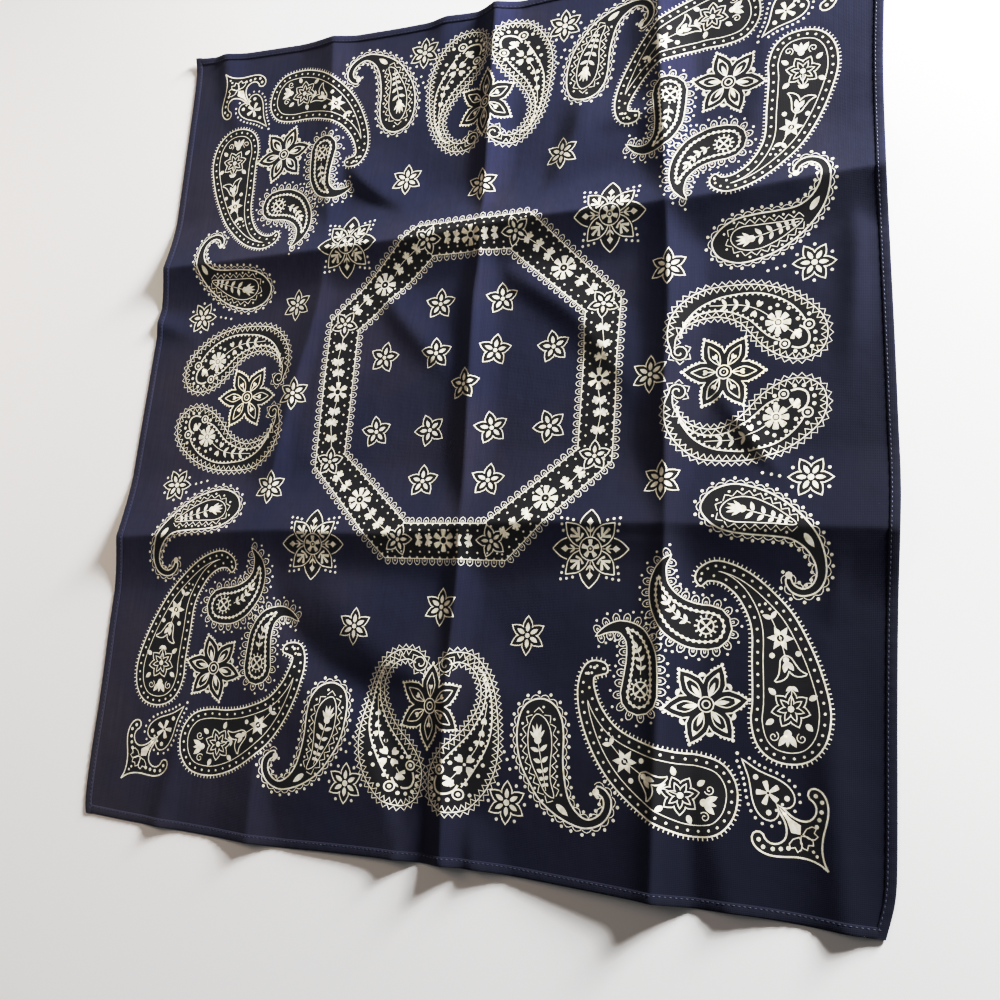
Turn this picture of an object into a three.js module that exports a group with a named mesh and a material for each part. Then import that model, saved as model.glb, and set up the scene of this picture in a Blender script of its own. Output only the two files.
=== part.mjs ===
// A printed cotton bandana, opened out after it was stored folded in thirds one way and
// quarters the other. One panel with a narrow turned hem on each of its four sides.
// Millimetres, +Z up. The underside lies on z = 0 and the origin is under the middle of the cloth.

import * as THREE from "three";

// Cloth and hem. The wall is the cloth with the slack air that a laid cloth holds under it.
const PANEL_WALL = 1.2;
const HEM_WALL = 1.8;
const HEM_WIDTH = 5;
const SEAM_GAP = 0.3;

// Grid: steps in each bay between two creases, and how far they crowd towards the creases.
const STEPS_ACROSS_BAY = 13;
const STEPS_DOWN_BAY = 17;
const CROWDING = 0.7;
const CROSSING_ROUNDS = 8;

// Where folds meet, heights join as a power mean of this order, so that no crossing doubles up.
const JOIN_ORDER = 3;

const CLOTH_NAVY = 0x25283f;
const HEM_NAVY = 0x1f2238;
const CLOTH_ROUGHNESS = 0.85;

// The four edges, measured from the middle of the print: [along the edge, out from the middle].
const EDGES = {
  left: [[-286, -243.5], [-274, -246.5], [-250, -247.8], [-200, -248.2], [-150, -249.8],
    [-60, -249.6], [0, -248.8], [60, -247.7], [110, -246], [150, -246.2], [200, -247.3],
    [250, -248.6], [279, -250.6]],
  right: [[-286, 245.5], [-268, 249.8], [-250, 250.8], [-180, 251], [-130, 251.5],
    [-70, 253], [-30, 251.8], [20, 250], [68, 248], [120, 246], [180, 244.5], [240, 245.5],
    [279, 247.5]],
  bottom: [[-247, -282], [-210, -283.5], [-150, -285], [-100, -285.7], [-60, -284],
    [-16, -282.5], [44, -281.5], [100, -283], [140, -284.2], [185, -283.6], [236, -285.2],
    [251, -285]],
  top: [[-251, 277], [-220, 275.5], [-190, 273.8], [-150, 271.5], [-110, 270], [-60, 268],
    [-20, 268.5], [0, 269], [60, 270.5], [120, 270], [190, 272.5], [250, 275]],
};

// The folds. runs: "across" has its line as y at x, "down" as x at y.
// crest: how blunt the crest is. rise: crest heights spread evenly along the line.
// reach: how far the cloth takes to come down to the table, [lower side, higher side].
// hollow: how the flanks hang on the way down, 1 for straight ones.
const FOLDS = [
  { name: "upper ridge", runs: "across", crest: 0, reach: [32, 40], hollow: 1.5,
    line: [[-256, 100.3], [-50, 101], [41, 106], [140, 106.5], [233, 112.5], [256, 112.5]],
    rise: [6.3, 7.5, 8.5, 8, 7, 5.5] },
  { name: "lower ridge", runs: "across", crest: 0, reach: [38, 46], hollow: 1.5,
    line: [[-256, -99.5], [-124, -93.5], [-42, -95], [36, -87.6], [120, -87.4], [256, -89.2]],
    rise: [6.5, 7.2, 7.5, 7, 6.5, 6] },
  { name: "left crease", runs: "down", crest: 0, reach: [30, 19], hollow: 1.5,
    line: [[-290, -115], [-120, -124], [-97, -132], [-18, -126], [77, -110], [160, -116],
      [282, -127]],
    rise: [3.4, 1.6, 2.6, 3.8, 3.2, 2.6, 4] },
  { name: "middle crease", runs: "down", crest: 0, reach: [15, 18], hollow: 1.4,
    line: [[-290, 16.5], [-191, 10], [-110, 10.3], [-42, 8.3], [55, 4.9], [88, 6.4], [282, 1.5]],
    rise: [6.5, 5.4, 5.2, 5.2, 5.4, 6] },
  { name: "right crease", runs: "down", crest: 0, reach: [20, 22], hollow: 1.4,
    line: [[-290, 135], [-151, 133.6], [-86, 133.4], [-5, 129.2], [44, 129.2], [141, 122.3],
      [238, 114.3], [282, 111.5]],
    rise: [7.5, 7.5, 6.6, 6, 5.8, 5] },
  { name: "upper left slant", runs: "down", crest: 1.5, reach: [12, 44], hollow: 1.3,
    line: [[106, -36], [120, -50], [153, -90], [178, -104]], rise: [0, 2.6, 3, 0] },
  { name: "upper middle slant", runs: "down", crest: 1.5, reach: [13, 50], hollow: 1.3,
    line: [[106, 38], [140, 56], [165, 65], [198, 68]], rise: [0, 3.4, 3.6, 0] },
  { name: "upper right puff", runs: "across", crest: 1.5, reach: [11, 24], hollow: 1.3,
    line: [[66, 164], [90, 167], [122, 172]], rise: [0, 3, 3.4] },
  { name: "inner left slant", runs: "down", crest: 1.5, reach: [15, 26], hollow: 1.3,
    line: [[2, -6], [24, -25], [55, -52], [82, -70]], rise: [0, 2.4, 2.2, 0] },
  { name: "inner right slant", runs: "down", crest: 1.5, reach: [17, 42], hollow: 1.3,
    line: [[-24, 120], [0, 104], [37, 75], [71, 32], [92, 14]], rise: [0, 2.2, 3, 2.6, 0] },
  { name: "left swell", runs: "down", crest: 8, reach: [20, 34], hollow: 2,
    line: [[-75, -124], [10, -104], [92, -92]], rise: [0, 1.6, 1.6, 0] },
  { name: "lower left facet", runs: "across", crest: 5, reach: [90, 24], hollow: 1,
    line: [[-168, -112], [-128, -152], [-80, -198], [-40, -222], [-12, -280]],
    rise: [0, 2.4, 3.8, 4, 2.6] },
  { name: "lower middle facet", runs: "down", crest: 10, reach: [46, 90], hollow: 1,
    line: [[-262, 46], [-190, 10], [-172, -26], [-145, -62], [-96, -98]],
    rise: [0, 3, 4.4, 4.4, 0] },
  { name: "lower right facet", runs: "down", crest: 2, reach: [92, 8], hollow: 1,
    line: [[-290, 133], [-151, 131], [-96, 131]], rise: [5.5, 5.5, 3] },
  { name: "foot pleat left", runs: "down", crest: 1, reach: [14, 13], hollow: 1,
    line: [[-292, -17], [-272, -11], [-250, -3]], rise: [4.4, 2.6, 0] },
  { name: "foot pleat right", runs: "down", crest: 1, reach: [13, 24], hollow: 1,
    line: [[-292, 38], [-270, 32], [-246, 27]], rise: [4.2, 2.6, 0] },
  { name: "upper right panel crease", runs: "down", crest: 1, reach: [10, 22], hollow: 1.4,
    line: [[60, 166], [85, 167], [110, 166], [170, 176], [220, 180], [284, 181]],
    rise: [0, 1.8, 1, 1.2, 2] },
  { name: "right side ripple", runs: "down", crest: 3, reach: [12, 12], hollow: 2,
    line: [[-20, 226], [60, 231], [130, 226]], rise: [0, 2.2, 0] },
  { name: "right panel slant", runs: "across", crest: 0, reach: [12, 16], hollow: 1.3,
    line: [[148, 8], [158, -12], [178, -40], [208, -80]], rise: [0, 2, 2.2, 0] },
  { name: "right side dent", runs: "down", crest: 2, reach: [12, 12], hollow: 2,
    line: [[-146, 219], [-100, 224], [-56, 215]], rise: [0, 2.4, 0] },
  { name: "lower right ripple", runs: "down", crest: 4, reach: [16, 18], hollow: 2,
    line: [[-292, 229], [-220, 222], [-130, 216]], rise: [3, 2.2, 0] },
  { name: "lower right slant", runs: "down", crest: 3, reach: [18, 30], hollow: 1.5,
    line: [[-292, 176], [-240, 162], [-190, 150]], rise: [3, 2, 0] },
  { name: "lower left ripple", runs: "down", crest: 3, reach: [14, 18], hollow: 2,
    line: [[-292, -186], [-240, -178], [-196, -170]], rise: [2.4, 1.6, 0] },
  { name: "left edge pucker", runs: "across", crest: 3, reach: [12, 14], hollow: 2,
    line: [[-256, 62], [-236, 56], [-206, 44]], rise: [2.2, 1.6, 0] },
  { name: "upper left ripple", runs: "down", crest: 3, reach: [14, 20], hollow: 2,
    line: [[196, -196], [240, -214], [284, -224]], rise: [0, 1.8, 3] },
  { name: "top edge pucker", runs: "down", crest: 3, reach: [12, 20], hollow: 1.5,
    line: [[236, -44], [258, -38], [284, -34]], rise: [0, 2, 3.4] },
  { name: "top left corner lift", runs: "across", crest: 4, reach: [16, 16], hollow: 3,
    line: [[-256, 279], [-238, 276], [-222, 272]], rise: [3.5, 1.2, 0] },
];

const mix = (a, b, share) => a + (b - a) * share;

// The value at s on the smooth line through [position, value] points.
function through(points, s) {
  const last = points.length - 1;
  let i = 0;
  while (i < last - 1 && s > points[i + 1][0]) i += 1;
  const slopeAt = (k) => {
    const before = points[Math.max(k - 1, 0)];
    const after = points[Math.min(k + 1, last)];
    return (after[1] - before[1]) / (after[0] - before[0]);
  };
  const [start, end] = [points[i], points[i + 1]];
  const span = end[0] - start[0];
  const t = Math.min(Math.max((s - start[0]) / span, 0), 1);
  const ease = t * t * (3 - 2 * t);
  const leave = t * (1 - t) * (1 - t) * span * slopeAt(i);
  const arrive = t * t * (t - 1) * span * slopeAt(i + 1);
  return mix(start[1], end[1], ease) + leave + arrive;
}

// The height that one fold gives the cloth at (x, y).
function foldHeight(fold, x, y) {
  const [along, beside] = fold.runs === "across" ? [x, y] : [y, x];
  const from = fold.line[0][0];
  const to = fold.line[fold.line.length - 1][0];
  if (along <= from || along >= to) return 0;
  const off = beside - through(fold.line, along);
  const reach = off < 0 ? fold.reach[0] : fold.reach[1];
  const away = Math.hypot(off, fold.crest) - fold.crest;
  if (away >= reach) return 0;
  const knots = fold.rise.map((rise, i) => [mix(from, to, i / (fold.rise.length - 1)), rise]);
  return Math.max(through(knots, along), 0) * (1 - away / reach) ** fold.hollow;
}

// The underside of the cloth above the table.
function clothHeight(x, y) {
  const sum = FOLDS.reduce((total, fold) => total + foldHeight(fold, x, y) ** JOIN_ORDER, 0);
  return sum ** (1 / JOIN_ORDER);
}

const edge = (name, inset = 0) => (s) => through(EDGES[name], s) + inset;
const crease = (name) => {
  const { line } = FOLDS.find((fold) => fold.name === name);
  return (s) => through(line, s);
};

// Lines across each bay between neighbouring guides, crowded towards both of them.
function linesBetween(guides, steps) {
  const lines = [guides[0]];
  for (let bay = 1; bay < guides.length; bay += 1) {
    for (let i = 1; i <= steps; i += 1) {
      const even = i / steps;
      const share = mix(even, (1 - Math.cos(Math.PI * even)) / 2, CROWDING);
      lines.push((s) => mix(guides[bay - 1](s), guides[bay](s), share));
    }
  }
  return lines;
}

// Where a line down the cloth (x at y) meets a line across it (y at x).
function crossing(down, across) {
  let [x, y] = [down(0), 0];
  for (let i = 0; i < CROSSING_ROUNDS; i += 1) {
    y = across(x);
    x = down(y);
  }
  return [x, y];
}

// A closed wall of cloth on the crossings of the given lines, wall thick.
function clothWall(downs, acrosses, wall) {
  const [wide, long] = [downs.length, acrosses.length];
  const feet = acrosses.flatMap((across) => downs.map((down) => crossing(down, across)));
  const under = feet.map(([x, y]) => [x, y, clothHeight(x, y)]);
  const over = under.map(([x, y, z]) => [x, y, z + wall]);
  const topOf = (i, j) => wide * long + j * wide + i;
  const baseOf = (i, j) => j * wide + i;
  const faces = [];
  for (let j = 0; j + 1 < long; j += 1) {
    for (let i = 0; i + 1 < wide; i += 1) {
      faces.push([topOf(i, j), topOf(i + 1, j), topOf(i + 1, j + 1)]);
      faces.push([topOf(i, j), topOf(i + 1, j + 1), topOf(i, j + 1)]);
      faces.push([baseOf(i, j), baseOf(i + 1, j + 1), baseOf(i + 1, j)]);
      faces.push([baseOf(i, j), baseOf(i, j + 1), baseOf(i + 1, j + 1)]);
    }
  }
  const rim = [];
  for (let i = 0; i < wide; i += 1) rim.push([i, 0]);
  for (let j = 1; j < long; j += 1) rim.push([wide - 1, j]);
  for (let i = wide - 2; i >= 0; i -= 1) rim.push([i, long - 1]);
  for (let j = long - 2; j > 0; j -= 1) rim.push([0, j]);
  rim.forEach(([i, j], k) => {
    const [m, n] = rim[(k + 1) % rim.length];
    faces.push([baseOf(i, j), baseOf(m, n), topOf(m, n)]);
    faces.push([baseOf(i, j), topOf(m, n), topOf(i, j)]);
  });
  const geometry = new THREE.BufferGeometry();
  const points = new Float32Array([...under, ...over].flat());
  geometry.setAttribute("position", new THREE.BufferAttribute(points, 3));
  geometry.setIndex(faces.flat());
  geometry.computeVertexNormals();
  return geometry;
}

const inner = HEM_WIDTH + SEAM_GAP;
const creasesDown = [crease("left crease"), crease("middle crease"), crease("right crease")];
const ridgesAcross = [crease("lower ridge"), crease("upper ridge")];
const panelDowns = linesBetween(
  [edge("left", inner), ...creasesDown, edge("right", -inner)], STEPS_ACROSS_BAY);
const panelAcrosses = linesBetween(
  [edge("bottom", inner), ...ridgesAcross, edge("top", -inner)], STEPS_DOWN_BAY);
const sideAcrosses = [edge("bottom"), ...panelAcrosses, edge("top")];

const PIECES = [
  { name: "panel", wall: PANEL_WALL, color: CLOTH_NAVY,
    downs: panelDowns, acrosses: panelAcrosses },
  { name: "hem_left", wall: HEM_WALL, color: HEM_NAVY,
    downs: [edge("left"), edge("left", HEM_WIDTH)], acrosses: sideAcrosses },
  { name: "hem_right", wall: HEM_WALL, color: HEM_NAVY,
    downs: [edge("right", -HEM_WIDTH), edge("right")], acrosses: sideAcrosses },
  { name: "hem_bottom", wall: HEM_WALL, color: HEM_NAVY,
    downs: panelDowns, acrosses: [edge("bottom"), edge("bottom", HEM_WIDTH)] },
  { name: "hem_top", wall: HEM_WALL, color: HEM_NAVY,
    downs: panelDowns, acrosses: [edge("top", -HEM_WIDTH), edge("top")] },
];

const group = new THREE.Group();
for (const piece of PIECES) {
  const material = new THREE.MeshStandardMaterial({
    color: piece.color, roughness: CLOTH_ROUGHNESS, metalness: 0 });
  const mesh = new THREE.Mesh(clothWall(piece.downs, piece.acrosses, piece.wall), material);
  mesh.name = piece.name;
  group.add(mesh);
}

// The origin goes under the middle of the whole cloth.
const middle = new THREE.Box3().setFromObject(group).getCenter(new THREE.Vector3());
for (const mesh of group.children) mesh.geometry.translate(-middle.x, -middle.y, 0);

export default group;
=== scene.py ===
import math

import bpy
import numpy as np
from mathutils import Matrix, Vector


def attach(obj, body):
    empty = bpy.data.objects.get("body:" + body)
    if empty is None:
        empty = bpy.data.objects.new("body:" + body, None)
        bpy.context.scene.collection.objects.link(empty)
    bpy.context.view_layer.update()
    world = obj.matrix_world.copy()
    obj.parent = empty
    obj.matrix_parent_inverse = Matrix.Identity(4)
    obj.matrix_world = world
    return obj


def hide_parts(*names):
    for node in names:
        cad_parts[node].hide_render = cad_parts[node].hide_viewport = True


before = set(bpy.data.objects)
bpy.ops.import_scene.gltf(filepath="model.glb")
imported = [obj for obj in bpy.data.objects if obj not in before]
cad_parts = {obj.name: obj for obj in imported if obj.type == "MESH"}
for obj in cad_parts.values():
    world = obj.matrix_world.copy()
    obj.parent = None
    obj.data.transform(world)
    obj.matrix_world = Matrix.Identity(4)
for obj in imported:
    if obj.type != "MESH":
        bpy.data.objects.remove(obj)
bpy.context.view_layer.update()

# The camera. It looks down on the cloth from beyond its lower right corner, 25 degrees off
# straight down, as the photo does. Its place is given from the middle of the print, which lies
# a little off the middle of the cloth's outline, because the edges wander.
MM = 0.001
PRINT_MIDDLE = Vector((-1.27, 4.38, 0.0))
CAMERA_PLACE = Vector((254.7, -191.7, 529.1))
CAMERA_FORWARD = Vector((-0.3799, 0.2028, -0.9025))
CAMERA_UP = Vector((0.0041, 0.976, 0.2176))
LENS_MM = 35.48
SENSOR_MM = 36.0
NEAREST_M = 0.01


def in_scene(name, data):
    """A new object in the scene, from its mesh, lamp or camera."""
    thing = bpy.data.objects.new(name, data)
    bpy.context.scene.collection.objects.link(thing)
    return thing


camera_data = bpy.data.cameras.new("camera")
camera_data.lens = LENS_MM
camera_data.sensor_width = SENSOR_MM
camera_data.clip_start = NEAREST_M
camera = in_scene("camera", camera_data)
back = -CAMERA_FORWARD.normalized()
right = CAMERA_UP.cross(back).normalized()
up = back.cross(right)
camera.matrix_world = Matrix((right, up, back)).transposed().to_4x4()
camera.location = (CAMERA_PLACE + PRINT_MIDDLE) * MM
bpy.context.scene.camera = camera

# The panel: one piece of thin plain-woven cotton, dyed navy. It was stored folded in thirds one
# way and quarters the other, so it lies with two ridges across, three creases down, and softer
# slants and puffs between them. All sizes are in millimetres from the middle of the print.
EDGES = {
    "left": ((-286, -243.5), (-274, -246.5), (-250, -247.8), (-200, -248.2), (-150, -249.8),
             (-60, -249.6), (0, -248.8), (60, -247.7), (110, -246), (150, -246.2),
             (200, -247.3), (250, -248.6), (279, -250.6)),
    "right": ((-286, 245.5), (-268, 249.8), (-250, 250.8), (-180, 251), (-130, 251.5),
              (-70, 253), (-30, 251.8), (20, 250), (68, 248), (120, 246), (180, 244.5),
              (240, 245.5), (279, 247.5)),
    "bottom": ((-247, -282), (-210, -283.5), (-150, -285), (-100, -285.7), (-60, -284),
               (-16, -282.5), (44, -281.5), (100, -283), (140, -284.2), (185, -283.6),
               (236, -285.2), (251, -285)),
    "top": ((-251, 277), (-220, 275.5), (-190, 273.8), (-150, 271.5), (-110, 270),
            (-60, 268), (-20, 268.5), (0, 269), (60, 270.5), (120, 270), (190, 272.5),
            (250, 275)),
}
# A row for each fold: which way it runs, how blunt its crest is, how far the cloth takes to come
# down on its lower and higher side, how hollow those flanks hang (1 is straight), its line (y at
# x, or x at y), and its heights along that.
FOLDS = {
    "upper ridge": ("across", 0.8, (32, 40), 1.5,
                    ((-256, 100.3), (-50, 101), (41, 106), (140, 106.5), (233, 112.5),
                     (256, 112.5)), (6.3, 7.5, 8.5, 8, 7, 5.5)),
    "lower ridge": ("across", 0.8, (38, 46), 1.5,
                    ((-256, -99.5), (-124, -93.5), (-42, -95), (36, -87.6), (120, -87.4),
                     (256, -89.2)), (6.5, 7.2, 7.5, 7, 6.5, 6)),
    "left crease": ("down", 0.8, (30, 19), 1.5,
                    ((-290, -115), (-120, -124), (-97, -132), (-18, -126), (77, -110),
                     (160, -116), (282, -127)), (3.4, 1.6, 2.6, 3.8, 3.2, 2.6, 4)),
    "middle crease": ("down", 0.6, (15, 18), 1.4,
                      ((-290, 16.5), (-191, 10), (-110, 10.3), (-42, 8.3), (55, 4.9),
                       (88, 6.4), (282, 1.5)), (6.5, 5.4, 5.2, 5.2, 5.4, 6)),
    "right crease": ("down", 0.6, (20, 22), 1.4,
                     ((-290, 135), (-151, 133.6), (-86, 133.4), (-5, 129.2), (44, 129.2),
                      (141, 122.3), (238, 114.3), (282, 111.5)), (7.5, 7.5, 6.6, 6, 5.8, 5)),
    "upper left slant": ("down", 1.5, (12, 44), 1.3,
                         ((106, -36), (120, -50), (153, -90), (178, -104)), (0, 2.6, 3, 0)),
    "upper middle slant": ("down", 1.5, (13, 50), 1.3,
                           ((106, 38), (140, 56), (165, 65), (198, 68)), (0, 3.4, 3.6, 0)),
    "upper right puff": ("across", 1.5, (11, 24), 1.3, ((66, 164), (90, 167), (122, 172)),
                         (0, 3, 3.4)),
    "inner left slant": ("down", 1.5, (15, 26), 1.3,
                         ((2, -6), (24, -25), (55, -52), (82, -70)), (0, 2.4, 2.2, 0)),
    "inner right slant": ("down", 1.5, (17, 42), 1.3,
                          ((-24, 120), (0, 104), (37, 75), (71, 32), (92, 14)),
                          (0, 2.2, 3, 2.6, 0)),
    "left swell": ("down", 8, (20, 34), 2, ((-75, -124), (10, -104), (92, -92)),
                   (0, 1.6, 1.6, 0)),
    "lower left facet": ("across", 5, (90, 24), 1,
                         ((-168, -112), (-128, -152), (-80, -198), (-40, -222), (-12, -280)),
                         (0, 2.4, 3.8, 4, 2.6)),
    "lower middle facet": ("down", 10, (46, 90), 1,
                           ((-262, 46), (-190, 10), (-172, -26), (-145, -62), (-96, -98)),
                           (0, 3, 4.4, 4.4, 0)),
    "lower right facet": ("down", 2, (92, 8), 1,
                          ((-290, 133), (-151, 131), (-96, 131)), (5.5, 5.5, 3)),
    "foot pleat left": ("down", 1, (14, 13), 1, ((-292, -17), (-272, -11), (-250, -3)),
                        (4.4, 2.6, 0)),
    "foot pleat right": ("down", 1, (13, 24), 1, ((-292, 38), (-270, 32), (-246, 27)),
                         (4.2, 2.6, 0)),
    "upper right panel crease": ("down", 1, (10, 22), 1.4,
                                 ((60, 166), (85, 167), (110, 166), (170, 176), (220, 180),
                                  (284, 181)), (0, 1.8, 1, 1.2, 2)),
    "right side ripple": ("down", 3, (12, 12), 2, ((-20, 226), (60, 231), (130, 226)),
                          (0, 2.2, 0)),
    "right panel slant": ("across", 0.8, (12, 16), 1.3,
                          ((148, 8), (158, -12), (178, -40), (208, -80)), (0, 2, 2.2, 0)),
    "right side dent": ("down", 2, (12, 12), 2, ((-146, 219), (-100, 224), (-56, 215)),
                        (0, 2.4, 0)),
    "lower right ripple": ("down", 4, (16, 18), 2, ((-292, 229), (-220, 222), (-130, 216)),
                           (3, 2.2, 0)),
    "lower right slant": ("down", 3, (18, 30), 1.5, ((-292, 176), (-240, 162), (-190, 150)),
                          (3, 2, 0)),
    "lower left ripple": ("down", 3, (14, 18), 2, ((-292, -186), (-240, -178), (-196, -170)),
                          (2.4, 1.6, 0)),
    "left edge pucker": ("across", 3, (12, 14), 2, ((-256, 62), (-236, 56), (-206, 44)),
                         (2.2, 1.6, 0)),
    "upper left ripple": ("down", 3, (14, 20), 2, ((196, -196), (240, -214), (284, -224)),
                          (0, 1.8, 3)),
    "top edge pucker": ("down", 3, (12, 20), 1.5, ((236, -44), (258, -38), (284, -34)),
                        (0, 2, 3.4)),
    "top left corner lift": ("across", 4, (16, 16), 3, ((-256, 279), (-238, 276),
                             (-222, 272)), (3.5, 1.2, 0)),
}
JOIN_ORDER = 3
CLOTH_THICKNESS = 0.35
CLOTH_LIFT = 0.15
UNDER_HEM = 2.0
STEPS_ACROSS_BAY = 44
STEPS_DOWN_BAY = 68
CROWDING = 0.6
CROSSING_ROUNDS = 8
SHARP_FOLD = 50


def mix(a, b, share):
    return a + (b - a) * share


def through(points, s):
    """The values at s on the smooth line through (position, value) points."""
    at, value = np.array(points, float).T
    slope = np.empty_like(value)
    slope[1:-1] = (value[2:] - value[:-2]) / (at[2:] - at[:-2])
    slope[0] = (value[1] - value[0]) / (at[1] - at[0])
    slope[-1] = (value[-1] - value[-2]) / (at[-1] - at[-2])
    i = np.clip(np.searchsorted(at, s) - 1, 0, len(at) - 2)
    span = at[i + 1] - at[i]
    t = np.clip((s - at[i]) / span, 0, 1)
    ease = t * t * (3 - 2 * t)
    leave = t * (1 - t) ** 2 * span * slope[i]
    arrive = t * t * (t - 1) * span * slope[i + 1]
    return mix(value[i], value[i + 1], ease) + leave + arrive


def fold_height(fold, x, y):
    runs, crest, reach, hollow, line, rise = fold
    along, beside = (x, y) if runs == "across" else (y, x)
    start, end = line[0][0], line[-1][0]
    off = beside - through(line, along)
    away = np.hypot(off, crest) - crest
    share = np.clip(1 - away / np.where(off < 0, reach[0], reach[1]), 0, 1)
    knots = list(zip(np.linspace(start, end, len(rise)), rise))
    height = np.maximum(through(knots, along), 0) * share ** hollow
    return np.where((along > start) & (along < end), height, 0)


def cloth_height(x, y):
    """The underside of the cloth above the table, at points in the plan."""
    total = sum(fold_height(fold, x, y) ** JOIN_ORDER for fold in FOLDS.values())
    return np.cbrt(total) + CLOTH_LIFT


def edge(name, inset=0.0):
    return lambda s: through(EDGES[name], s) + inset


def crease(name):
    return lambda s: through(FOLDS[name][4], s)


def stations(bays, steps):
    """The bay and the share of it for each grid line, crowded towards the creases."""
    even = np.tile(np.arange(steps) / steps, bays)
    bay = np.repeat(np.arange(bays), steps)
    bay, even = np.append(bay, bays - 1), np.append(even, 1.0)
    return bay, mix(even, (1 - np.cos(np.pi * even)) / 2, CROWDING)


def crossings(downs, across_steps, acrosses, down_steps):
    """Grid points where the lines between the down guides meet those between the across ones."""
    bay_x, share_x = stations(len(downs) - 1, across_steps)
    bay_y, share_y = stations(len(acrosses) - 1, down_steps)
    x = np.zeros((len(bay_y), len(bay_x)))
    y = np.zeros_like(x)
    columns, rows = np.arange(len(bay_x)), np.arange(len(bay_y))[:, None]
    for _ in range(CROSSING_ROUNDS):
        guides = np.array([across(x) for across in acrosses])
        y = mix(guides[bay_y[:, None], rows, columns],
                guides[bay_y[:, None] + 1, rows, columns], share_y[:, None])
        guides = np.array([down(y) for down in downs])
        x = mix(guides[bay_x, rows, columns], guides[bay_x + 1, rows, columns], share_x)
    return x, y


def in_place(x, y, z):
    """Points in the part's frame, in metres, from millimetres about the print's middle."""
    return np.stack([x + PRINT_MIDDLE.x, y + PRINT_MIDDLE.y, z], -1) * MM


def select_only(piece):
    bpy.ops.object.select_all(action="DESELECT")
    piece.select_set(True)
    bpy.context.view_layer.objects.active = piece


def apply_modifier(piece, kind, **settings):
    select_only(piece)
    modifier = piece.modifiers.new(kind.title(), kind)
    for name, value in settings.items():
        setattr(modifier, name, value)
    bpy.ops.object.modifier_apply(modifier=modifier.name)


bpy.ops.object.select_all(action="DESELECT")
panel_x, panel_y = crossings(
    [edge("left", UNDER_HEM), crease("left crease"), crease("middle crease"),
     crease("right crease"), edge("right", -UNDER_HEM)], STEPS_ACROSS_BAY,
    [edge("bottom", UNDER_HEM), crease("lower ridge"), crease("upper ridge"),
     edge("top", -UNDER_HEM)], STEPS_DOWN_BAY)
long, wide = panel_x.shape
bpy.ops.mesh.primitive_grid_add(x_subdivisions=wide - 1, y_subdivisions=long - 1, size=1)
panel = bpy.context.object
panel.name = "cloth_panel"
panel_points = in_place(panel_x, panel_y, cloth_height(panel_x, panel_y))
panel.data.vertices.foreach_set("co", panel_points.astype(np.float32).ravel())
panel.data.update()
apply_modifier(panel, "SOLIDIFY", thickness=CLOTH_THICKNESS * MM, offset=-1.0)
bpy.ops.object.shade_smooth_by_angle(angle=math.radians(SHARP_FOLD))


def linear(hexed):
    """A colour from its sRGB hex value."""
    parts = [int(hexed[i:i + 2], 16) / 255 for i in (0, 2, 4)]
    return [c / 12.92 if c <= 0.04045 else ((c + 0.055) / 1.055) ** 2.4 for c in parts] + [1.0]


def new_material(name):
    material = bpy.data.materials.new(name)
    material.use_nodes = True
    return material, material.node_tree.nodes["Principled BSDF"]


def add_node(material, kind, settings=(), values=(), links=()):
    """A node with its settings, its socket values, and links as (socket, node, its output)."""
    node = material.node_tree.nodes.new(kind)
    for name, value in dict(settings).items():
        setattr(node, name, value)
    for name, value in dict(values).items():
        node.inputs[name].default_value = value
    for name, source, output in links:
        material.node_tree.links.new(source.outputs[output], node.inputs[name])
    return node


def wire(material, source, output, target, socket):
    material.node_tree.links.new(source.outputs[output], target.inputs[socket])


# Vat-dyed cotton, plain woven and pressed: matt, a little uneven where threads are thick, and
# browner in loose random clouds. On top of that its colour is painted lighter and browner
# towards the lower left, a painted warm sheen, and darker towards the lower right, a painted
# shade. Threads are drawn at 0.9 mm, twice their true spacing, because finer ones would not show.
NAVY = linear("1a1e36")
# The browner colour serves the random clouds and the painted sheen; the dark one serves the slubs
# and the painted shade.
NAVY_WORN_AND_SHEEN = linear("302b38")
NAVY_SHADE_AND_SLUB = linear("05081a")
INK = linear("101013")
# The ways along which the colour is painted lighter as sheen (lower left) and darker as shade
# (lower right).
PAINTED_SHEEN_WAY = (-0.8, -0.45, 0.0)
PAINTED_SHADE_WAY = (0.75, -0.66, 0.0)
GROUND_REACH = 4.0
INK_FULL_MM = 0.4
INK_GONE_MM = 0.9
THREAD_MM = 0.9
THREAD_RELIEF_MM = 0.12
SLUB_MM = 1.6
SLUB_LENGTH = 24.0
CLOUD_MM = 90.0
CRUMPLE_MM = 34.0
CRUMPLE_DEEP_MM = 0.9


def crumpled(material, place):
    """The slight creasing that lies all over handled cloth, under a millimetre deep."""
    creasing = add_node(material, "ShaderNodeTexNoise",
                        values={"Scale": 1000 / CRUMPLE_MM, "Detail": 3.0, "Roughness": 0.45},
                        links=[("Vector", place, "Object")])
    return add_node(material, "ShaderNodeBump",
                    values={"Strength": 1.0, "Distance": CRUMPLE_DEEP_MM * MM},
                    links=[("Height", creasing, "Fac")])


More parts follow.
